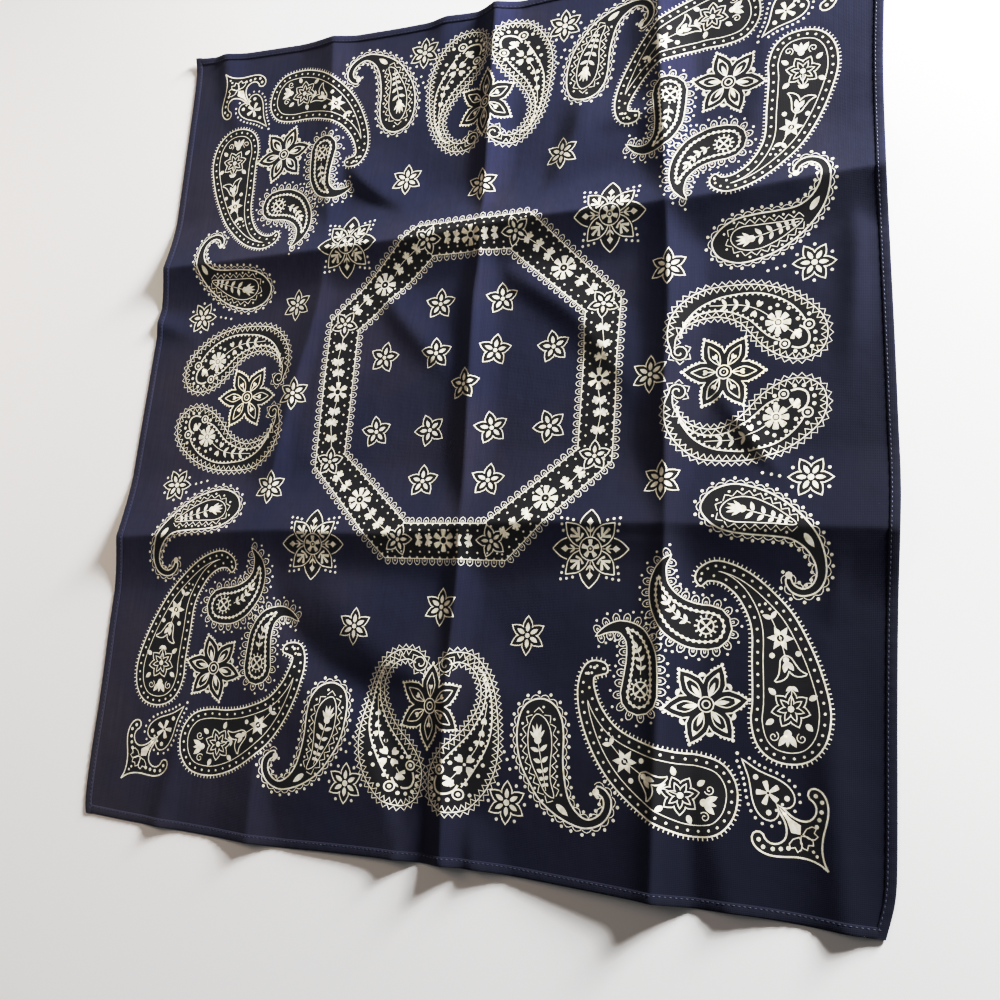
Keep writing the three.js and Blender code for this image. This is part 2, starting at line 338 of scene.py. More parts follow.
def woven_cotton(name, main, worn_and_sheen, deep):
    """Cotton in its main colour, browner for clouds and painted sheen, dark for slubs and painted
    shade.
    """
    material, shader = new_material(name)
    place = add_node(material, "ShaderNodeTexCoord")
    clouds = add_node(material, "ShaderNodeTexNoise",
                      values={"Scale": 1000 / CLOUD_MM, "Detail": 3.0, "Roughness": 0.55},
                      links=[("Vector", place, "Object")])
    # Painted warm sheen: the colour is painted lighter and browner towards the lower left, added
    # to the random clouds.
    down_left = add_node(material, "ShaderNodeVectorMath",
                         settings={"operation": "DOT_PRODUCT"}, values={1: PAINTED_SHEEN_WAY},
                         links=[(0, place, "Object")])
    painted_sheen = add_node(material, "ShaderNodeMapRange",
                     values={"From Min": -0.08, "From Max": 0.3, "To Min": 0.0, "To Max": 0.25},
                     links=[("Value", down_left, "Value")])
    wear_and_painted_sheen = add_node(material, "ShaderNodeMath", settings={"operation": "ADD"},
                    links=[(0, clouds, "Fac"), (1, painted_sheen, "Result")])
    tint = add_node(material, "ShaderNodeValToRGB", links=[("Fac", wear_and_painted_sheen, "Value")])
    tint.color_ramp.elements[0].position = 0.5
    tint.color_ramp.elements[0].color = main
    tint.color_ramp.elements[1].position = 0.95
    tint.color_ramp.elements[1].color = worn_and_sheen
    # Painted shade: the colour is painted darker towards the lower right; depth is the share of
    # this painted shade.
    down_right = add_node(material, "ShaderNodeVectorMath",
                          settings={"operation": "DOT_PRODUCT"}, values={1: PAINTED_SHADE_WAY},
                          links=[(0, place, "Object")])
    depth = add_node(material, "ShaderNodeMapRange",
                     values={"From Min": -0.08, "From Max": 0.28, "To Min": 0.0, "To Max": 1.0},
                     links=[("Value", down_right, "Value")])
    tint_with_painted_shade = add_node(material, "ShaderNodeMix", settings={"data_type": "RGBA"},
                   values={7: deep}, links=[(0, depth, "Result"), (6, tint, "Color")])
    stretch = add_node(material, "ShaderNodeMapping",
                       values={"Scale": (1.0, 1 / SLUB_LENGTH, 1.0)},
                       links=[("Vector", place, "Object")])
    slubs = add_node(material, "ShaderNodeTexNoise",
                     values={"Scale": 1000 / SLUB_MM, "Detail": 2.0, "Roughness": 0.6},
                     links=[("Vector", stretch, "Vector")])
    slub_share = add_node(material, "ShaderNodeMapRange",
                          values={"From Min": 0.35, "From Max": 0.75, "To Max": 0.32},
                          links=[("Value", slubs, "Fac")])
    colour = add_node(material, "ShaderNodeMix", settings={"data_type": "RGBA"},
                      values={7: deep},
                      links=[(0, slub_share, "Result"), (6, tint_with_painted_shade, 2)])
    printing = add_node(material, "ShaderNodeAttribute", settings={"attribute_name": "ground"})
    black = add_node(material, "ShaderNodeMapRange",
                     values={"From Min": GROUND_REACH - INK_GONE_MM,
                             "From Max": GROUND_REACH - INK_FULL_MM},
                     links=[("Value", printing, "Fac")])
    inked = add_node(material, "ShaderNodeMix", settings={"data_type": "RGBA"},
                     values={7: INK}, links=[(0, black, "Result"), (6, colour, 2)])
    wire(material, inked, 2, shader, "Base Color")
    warp, weft = [add_node(material, "ShaderNodeTexWave", settings={"bands_direction": way},
                           values={"Scale": math.pi / 10 / (THREAD_MM * MM), "Distortion": 0.6},
                           links=[("Vector", place, "Object")]) for way in "XY"]
    threads = add_node(material, "ShaderNodeMath", settings={"operation": "MAXIMUM"},
                       links=[(0, warp, "Fac"), (1, weft, "Fac")])
    relief = add_node(material, "ShaderNodeMath", settings={"operation": "ADD"},
                      links=[(0, threads, "Value"), (1, slubs, "Fac")])
    bump = add_node(material, "ShaderNodeBump",
                    values={"Strength": 0.35, "Distance": THREAD_RELIEF_MM * MM},
                    links=[("Height", relief, "Value"),
                           ("Normal", crumpled(material, place), "Normal")])
    wire(material, bump, "Normal", shader, "Normal")
    shader.inputs["Roughness"].default_value = 0.88
    shader.inputs["Specular IOR Level"].default_value = 0.12
    shader.inputs["Sheen Weight"].default_value = 0.08
    shader.inputs["Sheen Roughness"].default_value = 0.35
    return material


navy_cotton = woven_cotton("navy_plain_woven_cotton", NAVY, NAVY_WORN_AND_SHEEN, NAVY_SHADE_AND_SLUB)
panel.data.materials.clear()
panel.data.materials.append(navy_cotton)
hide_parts("panel")
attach(panel, "root")

# The hems: the panel's own edge, turned under twice to about 5 mm and sewn down with one row of
# stitches. Each is a narrow rolled band with a soft outer fold, a groove at the stitches, and
# the small puckers that the thread draws into it.
HEM_ROUND = ((0.0, 0.4), (0.12, 0.64), (0.45, 0.8), (1.2, 0.87), (2.4, 0.89), (3.4, 0.86),
             (3.9, 0.77), (4.2, 0.75), (4.5, 0.8), (5.0, 0.66), (5.3, 0.3), (3.0, 0.02),
             (0.4, 0.05))
HEM_STEP = 2.4
PUCKER_SPACING = 6.5
PUCKER_HEIGHT = 0.12
SHARP_HEM = 60


def hem_band(name, side, start, stop):
    """A hem along one edge, from start to stop along it, as rings of the rolled section."""
    outward = -1 if side in ("left", "bottom") else 1
    along = np.linspace(start, stop, int((stop - start) / HEM_STEP))[:, None]
    inset, height = np.array(HEM_ROUND).T
    beside = edge(side)(along) - outward * inset
    level = np.broadcast_to(along, beside.shape)
    x, y = (beside, level) if side in ("left", "right") else (level, beside)
    pucker = np.sin(2 * np.pi * along / PUCKER_SPACING + np.sin(along / 17.0) * 2)
    z = cloth_height(x, y) - CLOTH_LIFT + height * (1 + PUCKER_HEIGHT * pucker)
    rings, sides = x.shape
    ring = np.arange(rings - 1)[:, None] * sides
    k = np.arange(sides)
    quads = np.stack([ring + k, ring + (k + 1) % sides, ring + sides + (k + 1) % sides,
                      ring + sides + k], -1).reshape(-1, 4)
    ends = [list(range(sides)), list(range((rings - 1) * sides, rings * sides))]
    mesh = bpy.data.meshes.new(name)
    mesh.from_pydata(in_place(x, y, z).reshape(-1, 3).tolist(), [], quads.tolist() + ends)
    band = in_scene(name, mesh)
    select_only(band)
    bpy.ops.object.mode_set(mode="EDIT")
    bpy.ops.mesh.select_all(action="SELECT")
    bpy.ops.mesh.normals_make_consistent(inside=False)
    bpy.ops.object.mode_set(mode="OBJECT")
    bpy.ops.object.shade_smooth_by_angle(angle=math.radians(SHARP_HEM))
    mesh.materials.append(hem_cotton)
    return band


# The same cotton turned double, rubbed a little lighter, with the panel's painted sheen and a
# paler painted shade.
hem_cotton = woven_cotton("navy_cotton_turned_double", linear("1c1f36"), linear("2e2a35"),
                          linear("0c0f1e"))
SIDE_OVERLAP = 4.6
corner_left = float(edge("left", SIDE_OVERLAP)(np.array(-280.0)))
corner_right = float(edge("right", -SIDE_OVERLAP)(np.array(-280.0)))
hems = {
    "hem_left": hem_band("hem_left_band", "left", -282.4, 277.0),
    "hem_right": hem_band("hem_right_band", "right", -285.1, 274.9),
    "hem_bottom": hem_band("hem_bottom_band", "bottom", corner_left, corner_right),
    "hem_top": hem_band("hem_top_band", "top", -250.0 + SIDE_OVERLAP, 247.0 - SIDE_OVERLAP),
}
for node, band in hems.items():
    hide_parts(node)
    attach(band, "root")

# The stitches: one row along each hem, of navy sewing thread that sits in the hem's groove.
# Each is a short rounded bead of thread, 1.7 mm long, and they are 2.6 mm apart.
STITCH_PITCH = 2.6
STITCH_HALF = (0.85, 0.26, 0.16)
STITCH_INSET = 4.15
STITCH_HEIGHT = 0.78
STITCH_MARKS = np.array([-0.9, 0.0, 0.9])
STITCH_RUNS = (("left", -279.0, 273.0), ("right", -281.0, 271.0), ("bottom", -243.0, 244.0),
               ("top", -243.0, 241.0))

bpy.ops.mesh.primitive_uv_sphere_add(segments=8, ring_count=4, radius=1.0)
stitch = bpy.context.object
bead = np.array([vertex.co for vertex in stitch.data.vertices]) * STITCH_HALF
bead_faces = [np.array(face.vertices) for face in stitch.data.polygons]
bpy.data.objects.remove(stitch, do_unlink=True)
stitch_points, stitch_faces = [], []
for side, start, stop in STITCH_RUNS:
    outward = -1 if side in ("left", "bottom") else 1
    for along in np.arange(start, stop, STITCH_PITCH):
        ends = along + STITCH_MARKS
        beside = edge(side, -outward * STITCH_INSET)(ends)
        x, y = (beside, ends) if side in ("left", "right") else (ends, beside)
        z = cloth_height(x, y) - CLOTH_LIFT + STITCH_HEIGHT
        run = np.array([x[2] - x[0], y[2] - y[0], z[2] - z[0]])
        run /= np.linalg.norm(run)
        aside = np.array([-run[1], run[0], 0]) / math.hypot(run[0], run[1])
        spin = np.array([run, aside, np.cross(run, aside)])
        spot = bead @ spin + (x[1], y[1], z[1])
        first = len(stitch_points) * len(bead)
        stitch_points.append(in_place(*spot.T))
        stitch_faces += [(face + first).tolist() for face in bead_faces]
stitch_mesh = bpy.data.meshes.new("hem_stitches")
stitch_mesh.from_pydata(np.concatenate(stitch_points).tolist(), [], stitch_faces)
stitches = in_scene("hem_stitches", stitch_mesh)
stitch_mesh.shade_smooth()

# Spun polyester sewing thread, navy, a little glossier than the cotton.
thread, thread_shader = new_material("navy_sewing_thread")
thread_shader.inputs["Base Color"].default_value = linear("20243c")
thread_shader.inputs["Roughness"].default_value = 0.6
stitch_mesh.materials.append(thread)
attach(stitches, "root")

# The print: a thick cream paste, screened on the cloth and soaked into it, so it has no edge that
# can be felt. Each motif is drawn once in the lower right quarter, in millimetres, as strokes
# and filled shapes laid on the folded surface, and mirrored about both middles of the cloth.
PRINT_LIFT = 0.16
FINE_MM = 2.4
CREST_FINE_MM = 1.0
CREST_NEAR_MM = 4.0
MAIN_FOLDS = ("upper ridge", "lower ridge", "left crease", "middle crease", "right crease")
INSET_CLEAR = 0.96
grounds = []


def smooth(points, closed=False, step=1.8):
    """Points about a step apart on the smooth line through the given ones."""
    p = np.array(points, float)
    if closed:
        p = np.vstack([p[-2:], p, p[:2]])
    at = np.append(0, np.cumsum(np.hypot(*np.diff(p, axis=0).T)))
    first, last = (at[2], at[-2]) if closed else (at[0], at[-1])
    s = np.linspace(first, last, max(4, round((last - first) / step) + 1))
    s = s[:-1] if closed else s
    return np.stack([through(np.stack([at, p[:, k]], 1), s) for k in (0, 1)], 1)


def stroke(points, width=0.7, closed=False):
    """A line of even width, mitred at its corners, as triangles."""
    p = np.array(points, float)
    ahead = np.roll(p, -1, 0) - p
    if not closed:
        ahead[-1] = ahead[-2]
    ahead /= np.maximum(np.hypot(*ahead.T), 1e-9)[:, None]
    behind = np.roll(ahead, 1, 0)
    if not closed:
        behind[0] = ahead[0]
    both = ahead + behind
    both /= np.maximum(np.hypot(*both.T), 0.3)[:, None]
    bend = np.clip((both * ahead).sum(1), 0.5, 1)
    aside = np.stack([-both[:, 1], both[:, 0]], 1) * (width / 2 / bend)[:, None]
    left, right = p + aside, p - aside
    a, b = (right, left) if closed else (right[:-1], left[:-1])
    c, d = (np.roll(q, -1, 0)[:len(a)] for q in (right, left))
    return np.concatenate([np.stack([a, c, d], 1), np.stack([a, d, b], 1)])


def blot(points):
    """A filled shape, as a fan about its middle."""
    p = np.array(points, float)
    return np.stack([np.broadcast_to(p.mean(0), p.shape), p, np.roll(p, -1, 0)], 1)


def circle(radius, x=0.0, y=0.0, sides=16):
    turn = np.arange(sides) * 2 * np.pi / sides
    return np.stack([x + radius * np.cos(turn), y + radius * np.sin(turn)], 1)


def dots(places, radius=1.0):
    return np.concatenate([blot(circle(radius, x, y, 8)) for x, y in places])


def ring(x, y, radius, width=0.6):
    return stroke(circle(radius, x, y), width, closed=True)


def leaf(start, end, half):
    """A filled leaf from its stalk to its tip, pointed at both ends."""
    start, end = np.array(start, float), np.array(end, float)
    run = (end - start) / np.hypot(*(end - start))
    t = np.array([0, 0.15, 0.4, 0.65, 0.87, 1])
    wide = half * np.array([0.25, 0.75, 1.0, 0.85, 0.4, 0])
    middle = start + (end - start) * t[:, None]
    aside = np.array([-run[1], run[0]]) * wide[:, None]
    return blot(np.vstack([middle + aside, (middle - aside)[-2::-1]]))


def placed(shape, x=0.0, y=0.0, turn=0.0, size=1.0):
    c, s = math.cos(math.radians(turn)) * size, math.sin(math.radians(turn)) * size
    return shape @ np.array([[c, s], [-s, c]]) + (x, y)


def around(shape, count, turn=0.0):
    return np.concatenate([placed(shape, turn=turn + k * 360 / count) for k in range(count)])


def spaced(line, pitch, closed):
    """Places about a pitch apart along a line, and the way it runs at each, in degrees."""
    p = np.vstack([line, line[:1]]) if closed else np.array(line, float)
    gap = np.diff(p, axis=0)
    length = np.hypot(*gap.T)
    at = np.append(0, np.cumsum(length))
    count = max(1, round(at[-1] / pitch))
    s = (np.arange(count) + 0.5) * at[-1] / count
    i = np.clip(np.searchsorted(at, s) - 1, 0, len(gap) - 1)
    place = p[i] + gap[i] * ((s - at[i]) / length[i])[:, None]
    return place, np.degrees(np.arctan2(gap[i, 1], gap[i, 0]))


def fringe(shape, line, pitch, inward=False, closed=True):
    """A shape repeated along a line: its y points right of the way the line runs, or left."""
    places, turns = spaced(line, pitch, closed)
    return np.concatenate([placed(shape, x, y, turn + (0 if inward else 180))
                           for (x, y), turn in zip(places, turns)])


def anticlockwise(line):
    """A closed line turned so that its inside is on the left."""
    x, y = line.T
    return line if (x * np.roll(y, -1) - y * np.roll(x, -1)).sum() > 0 else line[::-1]


def outline(points):
    return anticlockwise(smooth(points, closed=True))


def longest_run(line, keep):
    """The longest stretch of a closed line whose points are all kept."""
    if keep.all():
        return line
    start = np.flatnonzero(~keep)[0]
    line, keep = np.roll(line, -start, 0), np.roll(keep, -start)
    ends = np.flatnonzero(np.diff(np.concatenate([[0], keep, [0]])))
    first, last = max(zip(ends[::2], ends[1::2]), key=lambda run: run[1] - run[0])
    return line[first:last]


def inset(line, depth):
    """A closed outline moved inwards, less what would cross over in its narrow end."""
    run = np.roll(line, -1, 0) - np.roll(line, 1, 0)
    run /= np.hypot(*run.T)[:, None]
    moved = line + np.stack([-run[:, 1], run[:, 0]], 1) * depth
    off = moved[:, None] - line[None]
    return longest_run(moved, np.hypot(off[..., 0], off[..., 1]).min(1) > INSET_CLEAR * depth)


def four_ways(shape):
    return np.concatenate([shape * (x, y) for x in (1, -1) for y in (1, -1)])


def finer(shape):
    """Triangles split until they are short enough to follow the folds, finest on the crests."""
    done = []
    while len(shape):
        longest = np.hypot(*np.moveaxis(shape - np.roll(shape, 1, 1), -1, 0)).max(1)
        x, y = shape.mean(1).T
        near = np.full(len(shape), np.inf)
        for name in MAIN_FOLDS:
            along, beside = (x, y) if FOLDS[name][0] == "across" else (y, x)
            near = np.minimum(near, abs(beside - through(FOLDS[name][4], along)))
        long = longest > np.where(near < CREST_NEAR_MM + longest, CREST_FINE_MM, FINE_MM)
        done.append(shape[~long])
        a, b, c = np.moveaxis(shape[long], 1, 0)
        ab, bc, ca = (a + b) / 2, (b + c) / 2, (c + a) / 2
        shape = np.concatenate([np.stack(t, 1) for t in
                                ((a, ab, ca), (ab, b, bc), (ca, bc, c), (ab, bc, ca))])
    return np.concatenate(done)


def printed(name, *shapes, mirrored=True):
    """One piece of the print: its shapes, mirrored four ways or not, laid on the cloth."""
    flat = np.concatenate(shapes)
    flat = finer(four_ways(flat) if mirrored else flat)
    ab, ac = flat[:, 1] - flat[:, 0], flat[:, 2] - flat[:, 0]
    under = ab[:, 0] * ac[:, 1] - ab[:, 1] * ac[:, 0] < 0
    flat[under] = flat[under][:, ::-1]
    corners, faces = np.unique(np.round(flat.reshape(-1, 2), 3), axis=0, return_inverse=True)
    x, y = corners.T
    faces = faces.reshape(-1, 3)
    whole = ((faces[:, 0] != faces[:, 1]) & (faces[:, 1] != faces[:, 2])
             & (faces[:, 2] != faces[:, 0]))
    mesh = bpy.data.meshes.new(name)
    mesh.from_pydata(in_place(x, y, cloth_height(x, y) + PRINT_LIFT).tolist(), [],
                     faces[whole].tolist())
    piece = in_scene(name, mesh)
    mesh.shade_smooth()
    mesh.materials.append(cream_print)
    piece.visible_shadow = False
    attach(piece, "root")


def dark_ground(line):
    """The cloth inside a closed line is printed black; the line is mirrored four ways."""
    grounds.extend(np.array(line) * (x, y) for x in (1, -1) for y in (1, -1))


# Cream pigment paste: matt, warm white, with the weave showing through it in places.
cream_print, cream_shader = new_material("cream_pigment_print")
cream_place = add_node(cream_print, "ShaderNodeTexCoord")
cream_patch = add_node(cream_print, "ShaderNodeTexNoise", values={"Scale": 1000 / 3.0},
                       links=[("Vector", cream_place, "Object")])
cream_tint = add_node(cream_print, "ShaderNodeValToRGB", links=[("Fac", cream_patch, "Fac")])
cream_tint.color_ramp.elements[0].position = 0.3
cream_tint.color_ramp.elements[0].color = linear("b6af9c")
cream_tint.color_ramp.elements[1].position = 0.6
cream_tint.color_ramp.elements[1].color = linear("dad5c5")
wire(cream_print, cream_tint, "Color", cream_shader, "Base Color")
wire(cream_print, crumpled(cream_print, cream_place), "Normal", cream_shader, "Normal")
cream_shader.inputs["Roughness"].default_value = 0.8

TICK = stroke([(0, 0.4), (0, 1.9)], 0.55)
HOOD = np.concatenate([stroke([(-1.6, 0.3), (-1.7, 2.0), (-1.0, 3.3), (0, 3.8), (1.0, 3.3),
                               (1.7, 2.0), (1.6, 0.3)], 0.4),
                       stroke([(-0.5, 0.6), (-0.4, 1.7), (0.4, 1.7), (0.5, 0.6)], 0.34)])


def lobe(reach, half, start=0.0, turn=0.0):
    """A blunt petal from the middle outwards, narrow at its foot and square at its end."""
    rows = ((start, 0.35), (mix(start, reach, 0.55), 0.85), (mix(start, reach, 0.93), 1.0),
            (reach, 0.6))
    side = [(r, half * w) for r, w in rows]
    return placed(blot(side + [(r, -w) for r, w in side[::-1]]), turn=turn)


def fan(reach, half, spread, start=0.0):
    """Three blunt lobes from one foot, the middle one pointing along x."""
    return np.concatenate([lobe(reach, half, start), lobe(reach * 0.82, half, start, spread),
                           lobe(reach * 0.82, half, start, -spread)])


def petal_line(count, tip, notch, full=0.8, turn=90.0):
    """The outline of pointed petals about a middle, from the notch beside each to its tip."""
    half = 180 / count
    wide, near = mix(notch, tip, 0.26), mix(notch, tip, 0.63)
    shares = ((-1, notch), (-full, wide), (-full * 0.45, near), (0, tip), (full * 0.45, near),
              (full, wide))
    rows = [(r, math.radians(turn + k * 2 * half + share * half))
            for k in range(count) for share, r in shares]
    return np.array([(r * math.cos(a), r * math.sin(a)) for r, a in rows])


def petals(count, inner, outer, half, turn=90.0):
    return around(leaf((inner, 0), (outer, 0), half), count, turn)


def blunt_flower(count, reach, half, eye, middle, turn=90.0):
    """A solid flower of blunt petals about a dark eye, with a light middle of some radius or 0."""
    return np.concatenate([around(lobe(reach, half, eye), count, turn),
                           ring(0, 0, eye + 0.4, 0.8), dots([(0, 0)], middle)])


def star(count, tip, turn=90.0):
    """A small outlined star flower with a solid petal in each point."""
    return np.concatenate([
        stroke(petal_line(count, tip, tip * 0.5, turn=turn), 0.65, closed=True),
        petals(count, tip * 0.2, tip * 0.66, tip * 0.115, turn), dots([(0, 0)], tip * 0.13)])


PAIR = np.concatenate([leaf((0, 0), (-3.8, 3.0), 1.25), leaf((0, 0), (3.8, 3.0), 1.25)])
CLOVER = np.concatenate([placed(fan(4.6, 0.95, 36), turn=side) for side in (20, 160)])


def sprig(points, pitch, leaf_length, half=1.1):
    """A stalk with a pair of leaves at each pitch and one at its tip."""
    line = smooth(points)
    pair = np.concatenate([leaf((0, 0), (leaf_length * 0.75, side * leaf_length * 0.8), half)
                           for side in (-1, 1)])
    places, turns = spaced(line, pitch, False)
    parts = [placed(pair, x, y, turn) for (x, y), turn in zip(places, turns)]
    end, before = line[-1], line[-2]
    run = (end - before) / np.hypot(*(end - before))
    return np.concatenate([stroke(line, 0.45), leaf(end, end + run * leaf_length, half)] + parts)


def spiral(x, y, radius, turns, start, width):
    """A small scroll that winds inwards from the given angle."""
    t = np.linspace(0, 1, 18)
    angle = math.radians(start) + t * turns * 2 * math.pi
    reach = radius * (1 - 0.82 * t)
    return stroke(np.stack([x + reach * np.cos(angle), y + reach * np.sin(angle)], 1), width)


# The octagon: a black band between two lines, fringed with small hoods on its outer and inner
# side, with a star at each corner, a flower in the middle of each side, and clovers between.
OUTER = np.array([(99.5, 0), (99.5, -50.5), (39.5, -109.5), (0, -109.5)], float)
INNER = np.array([(78.5, 0), (78.5, -42.5), (26.0, -88.5), (0, -88.5)], float)
POINT = blot([(-1.0, 0.2), (1.0, 0.2), (0, 1.6)])
HOOD_PITCH = 5.0
BAND_DOT_PITCH = 6.2
gear = np.concatenate([ring(0, 0, 4.1, 0.75), around(lobe(6.2, 0.5, 4.2), 12),
                       around(lobe(4.0, 0.75, 0.4), 4, 45), dots([(0, 0)], 1.0)])
printed(
    "print_octagon",
    stroke(OUTER, 0.6), stroke(INNER, 0.6),
    fringe(HOOD, OUTER, HOOD_PITCH, inward=True, closed=False),
    fringe(HOOD, INNER, HOOD_PITCH, closed=False),
    fringe(POINT, OUTER, HOOD_PITCH, closed=False),
    fringe(POINT, INNER, HOOD_PITCH, inward=True, closed=False),
    fringe(dots([(0, 4.0)], 0.65), OUTER, BAND_DOT_PITCH, closed=False),
    fringe(dots([(0, 4.2)], 0.65), INNER, BAND_DOT_PITCH, inward=True, closed=False),
    placed(star(5, 9.6, 20.0), 89, -47), placed(star(5, 9.6, 250.0), 30.5, -98.5),
    placed(blunt_flower(6, 6.6, 1.7, 1.8, 0), 88.8, 0),
    placed(blunt_flower(6, 6.6, 1.7, 1.8, 0, 30), 0, -98.7),
    placed(blunt_flower(8, 7.8, 1.75, 2.4, 0.7), 62, -72.7),
    stroke(smooth([(88.8, -7), (90, -13), (91, -22), (89.8, -31), (89, -38)]), 0.45),
    stroke(smooth([(83, -54), (77, -62), (70, -66.5)]), 0.45),
    stroke(smooth([(55, -78), (50, -85), (42, -91), (36, -95)]), 0.45),
    placed(CLOVER, 89.8, -12.4, 180), placed(CLOVER, 90.8, -21.5), placed(CLOVER, 90, -30.5, 180),
    placed(CLOVER, 80.6, -57.4, -49), placed(CLOVER, 73.4, -63.8, -49),
    placed(CLOVER, 52.6, -82.0, 131), placed(CLOVER, 45.6, -88.0, 131),
    placed(CLOVER, 39.2, -93.2, 131, 0.85),
    placed(CLOVER, 10.5, -98.5, 90, 0.9), placed(CLOVER, 17.0, -98.5, 90, 0.9))
ring_out, ring_in = [
    np.vstack([quarter, quarter[::-1] * (-1, 1), quarter * (-1, -1), quarter[::-1] * (1, -1)])
    for quarter in (OUTER, INNER)]

# The scattered stars: five-petalled ones inside the octagon, in loose rows, and six-petalled
# ones outside it, three to a side.
INSIDE_STARS = ((-20, 56, 90), (23, 56, 95), (-57, 22, 80), (-19, 22, 95), (21, 22, 85),
                (59, 22, 100), (3, 0, 90), (-57, -28, 170), (-19, -28, 185), (23, -28, 175),
                (60, -28, 185), (-20, -61, 92), (24, -61, 86))
OUTSIDE_STARS = ((-54, 148), (3, 135), (56, 150), (128, 65), (120, 0), (130, -63),
                 (-129, 64), (-122, 0), (-131, -64), (-55, -152), (1, -138), (56, -152))
INSIDE_TIP, INSIDE_NOTCH = 10.5, 5.2
OUTSIDE_TIP, OUTSIDE_NOTCH = 11.2, 5.6
printed("print_stars",
        *[placed(star(5, INSIDE_TIP, turn), x, y) for x, y, turn in INSIDE_STARS],
        *[placed(star(6, OUTSIDE_TIP, 90), x, y) for x, y in OUTSIDE_STARS], mirrored=False)
grounds.extend(placed(petal_line(5, INSIDE_TIP, INSIDE_NOTCH), x, y, turn - 90)
               for x, y, turn in INSIDE_STARS)
grounds.extend(placed(petal_line(6, OUTSIDE_TIP, OUTSIDE_NOTCH), x, y)
               for x, y in OUTSIDE_STARS)

# The blossoms: eight petals at the octagon's corners, six petals with beaded edges in the
# corners and in the middle of each side, and small ones between the paisleys.
SQUARE_PETAL = ((6.5, 1.0), (10.2, 3.0), (13.2, 7.0), (14.0, 10.6), (14.4, 14.4))
POINTED_PETAL = ((13.8, 6.0), (17.0, 4.7), (20.0, 2.4), (22.3, 0))
corner_petal = smooth(SQUARE_PETAL, step=1.4)
axis_petal = smooth(POINTED_PETAL, step=1.4)
corner_part = np.concatenate([
    stroke(corner_petal, 0.7), stroke(corner_petal[:, ::-1], 0.7),
    placed(np.concatenate([fan(6.6, 0.9, 40), placed(fan(4.0, 0.75, 68), x=-1.4)]),
           6.6, 6.6, 45),
    dots([(17.2, 17.2), (13.6, 16.8), (10.0, 16.0), (16.8, 13.6), (16.0, 10.0)], 0.85)])
axis_part = np.concatenate([
    stroke(axis_petal, 0.7), stroke(axis_petal * (1, -1), 0.7), stroke([(7, 0), (13.2, 0)], 0.45),
    leaf((9, 0), (12.2, 2.4), 0.6), leaf((9, 0), (12.2, -2.4), 0.6),
    blot([(12.8, 0), (14.8, 1.9), (17.4, 0), (14.8, -1.9)])])
eight_petals = np.concatenate([around(axis_part, 4), around(corner_part, 4),
                               ring(0, 0, 6.5, 0.65), blunt_flower(5, 5.2, 1.35, 1.4, 0.7)])
HEART = ((0, 0), (2.2, 2.3), (5.0, 3.1), (6.8, 1.9), (5.4, 0), (6.8, -1.9), (5.0, -3.1),
         (2.2, -2.3))
TIP_BEADS = ((0.95, 4.4), (0.885, 8.6), (0.82, 13.2))
EDGE_BEADS = ((0.95, 4.4), (0.88, 9.0), (0.81, 14.0), (0.735, 19.0), (0.665, 24.0))
EIGHT_PETALS_AT = (91, -102)
CORNER_BLOSSOM_AT = (158.1, -183)
SIDE_BLOSSOM_AT = (161.3, 0)
FOOT_BLOSSOM_AT = (0, -195.5)
SMALL_SIDE_AT = (209, -61.5)
SMALL_FOOT_AT = (51, -244)
CORNER_TIP, CORNER_NOTCH = 22.0, 11.4
SIDE_TIP, SIDE_NOTCH = 22.6, 11.7
FOOT_TIP, FOOT_NOTCH = 24.0, 12.5
SMALL_TIP, SMALL_NOTCH = 11.6, 6.0
FOOT_SHARE = (0.87, 1.0)


def drop_leaf(tip):
    """The corner blossom's inner petal is thick at its tip and holds a narrow leaf."""
    return np.concatenate([
        blot([(tip * 0.68, tip * 0.05), (tip * 0.68, -tip * 0.05), (tip * 0.82, 0)]),
        leaf((tip * 0.22, 0), (tip * 0.56, 0), tip * 0.055)])


def heart_on_stalk(tip):
    """The side blossom's inner petal holds a small heart on a stalk."""
    return np.concatenate([stroke([(tip * 0.2, 0), (tip * 0.4, 0)], 0.6),
                           placed(blot(np.array(HEART) * (0.46, 0.52)), tip * 0.38)])


def beaded_blossom(tip, turn, filling, beads):
    """Six pointed petals, beaded along their edges, each with an inner petal and its filling."""
    edge_beads = [(tip * r * math.cos(math.radians(side * a)),
                   tip * r * math.sin(math.radians(side * a)))
                  for r, a in beads for side in (-1, 1)]
    half_round = circle(2.1, tip * 0.66, 0, 12)
    drop = smooth([(tip * 0.2, 0), (tip * 0.33, tip * 0.08), (tip * 0.5, tip * 0.125),
                   (tip * 0.66, tip * 0.075), (tip * 0.8, 0)], step=1.2)
    notches = around(blot(half_round[half_round[:, 0] >= tip * 0.655]), 6, turn + 30)
    return np.concatenate([
        stroke(petal_line(6, tip, tip * 0.52, turn=turn), 0.75, closed=True),
        around(np.concatenate([
            dots(edge_beads, 0.65), dots([(tip * 1.02, 0)], 0.95),
            stroke(drop, 0.6), stroke(drop * (1, -1), 0.6), filling(tip)]), 6, turn),
        notches if filling is drop_leaf else dots([(0, 0)], 0.3),
        ring(0, 0, tip * 0.18, 0.65), ring(0, 0, tip * 0.09, 0.75)])


def small_blossom(turn):
    return np.concatenate([
        stroke(petal_line(6, SMALL_TIP, SMALL_NOTCH, turn=turn), 0.7, closed=True),
        petals(6, 2.4, 7.6, 1.3, turn), dots([(0, 0)], 1.8),
        around(dots([(10.8, 0)], 0.95), 6, turn + 30)])


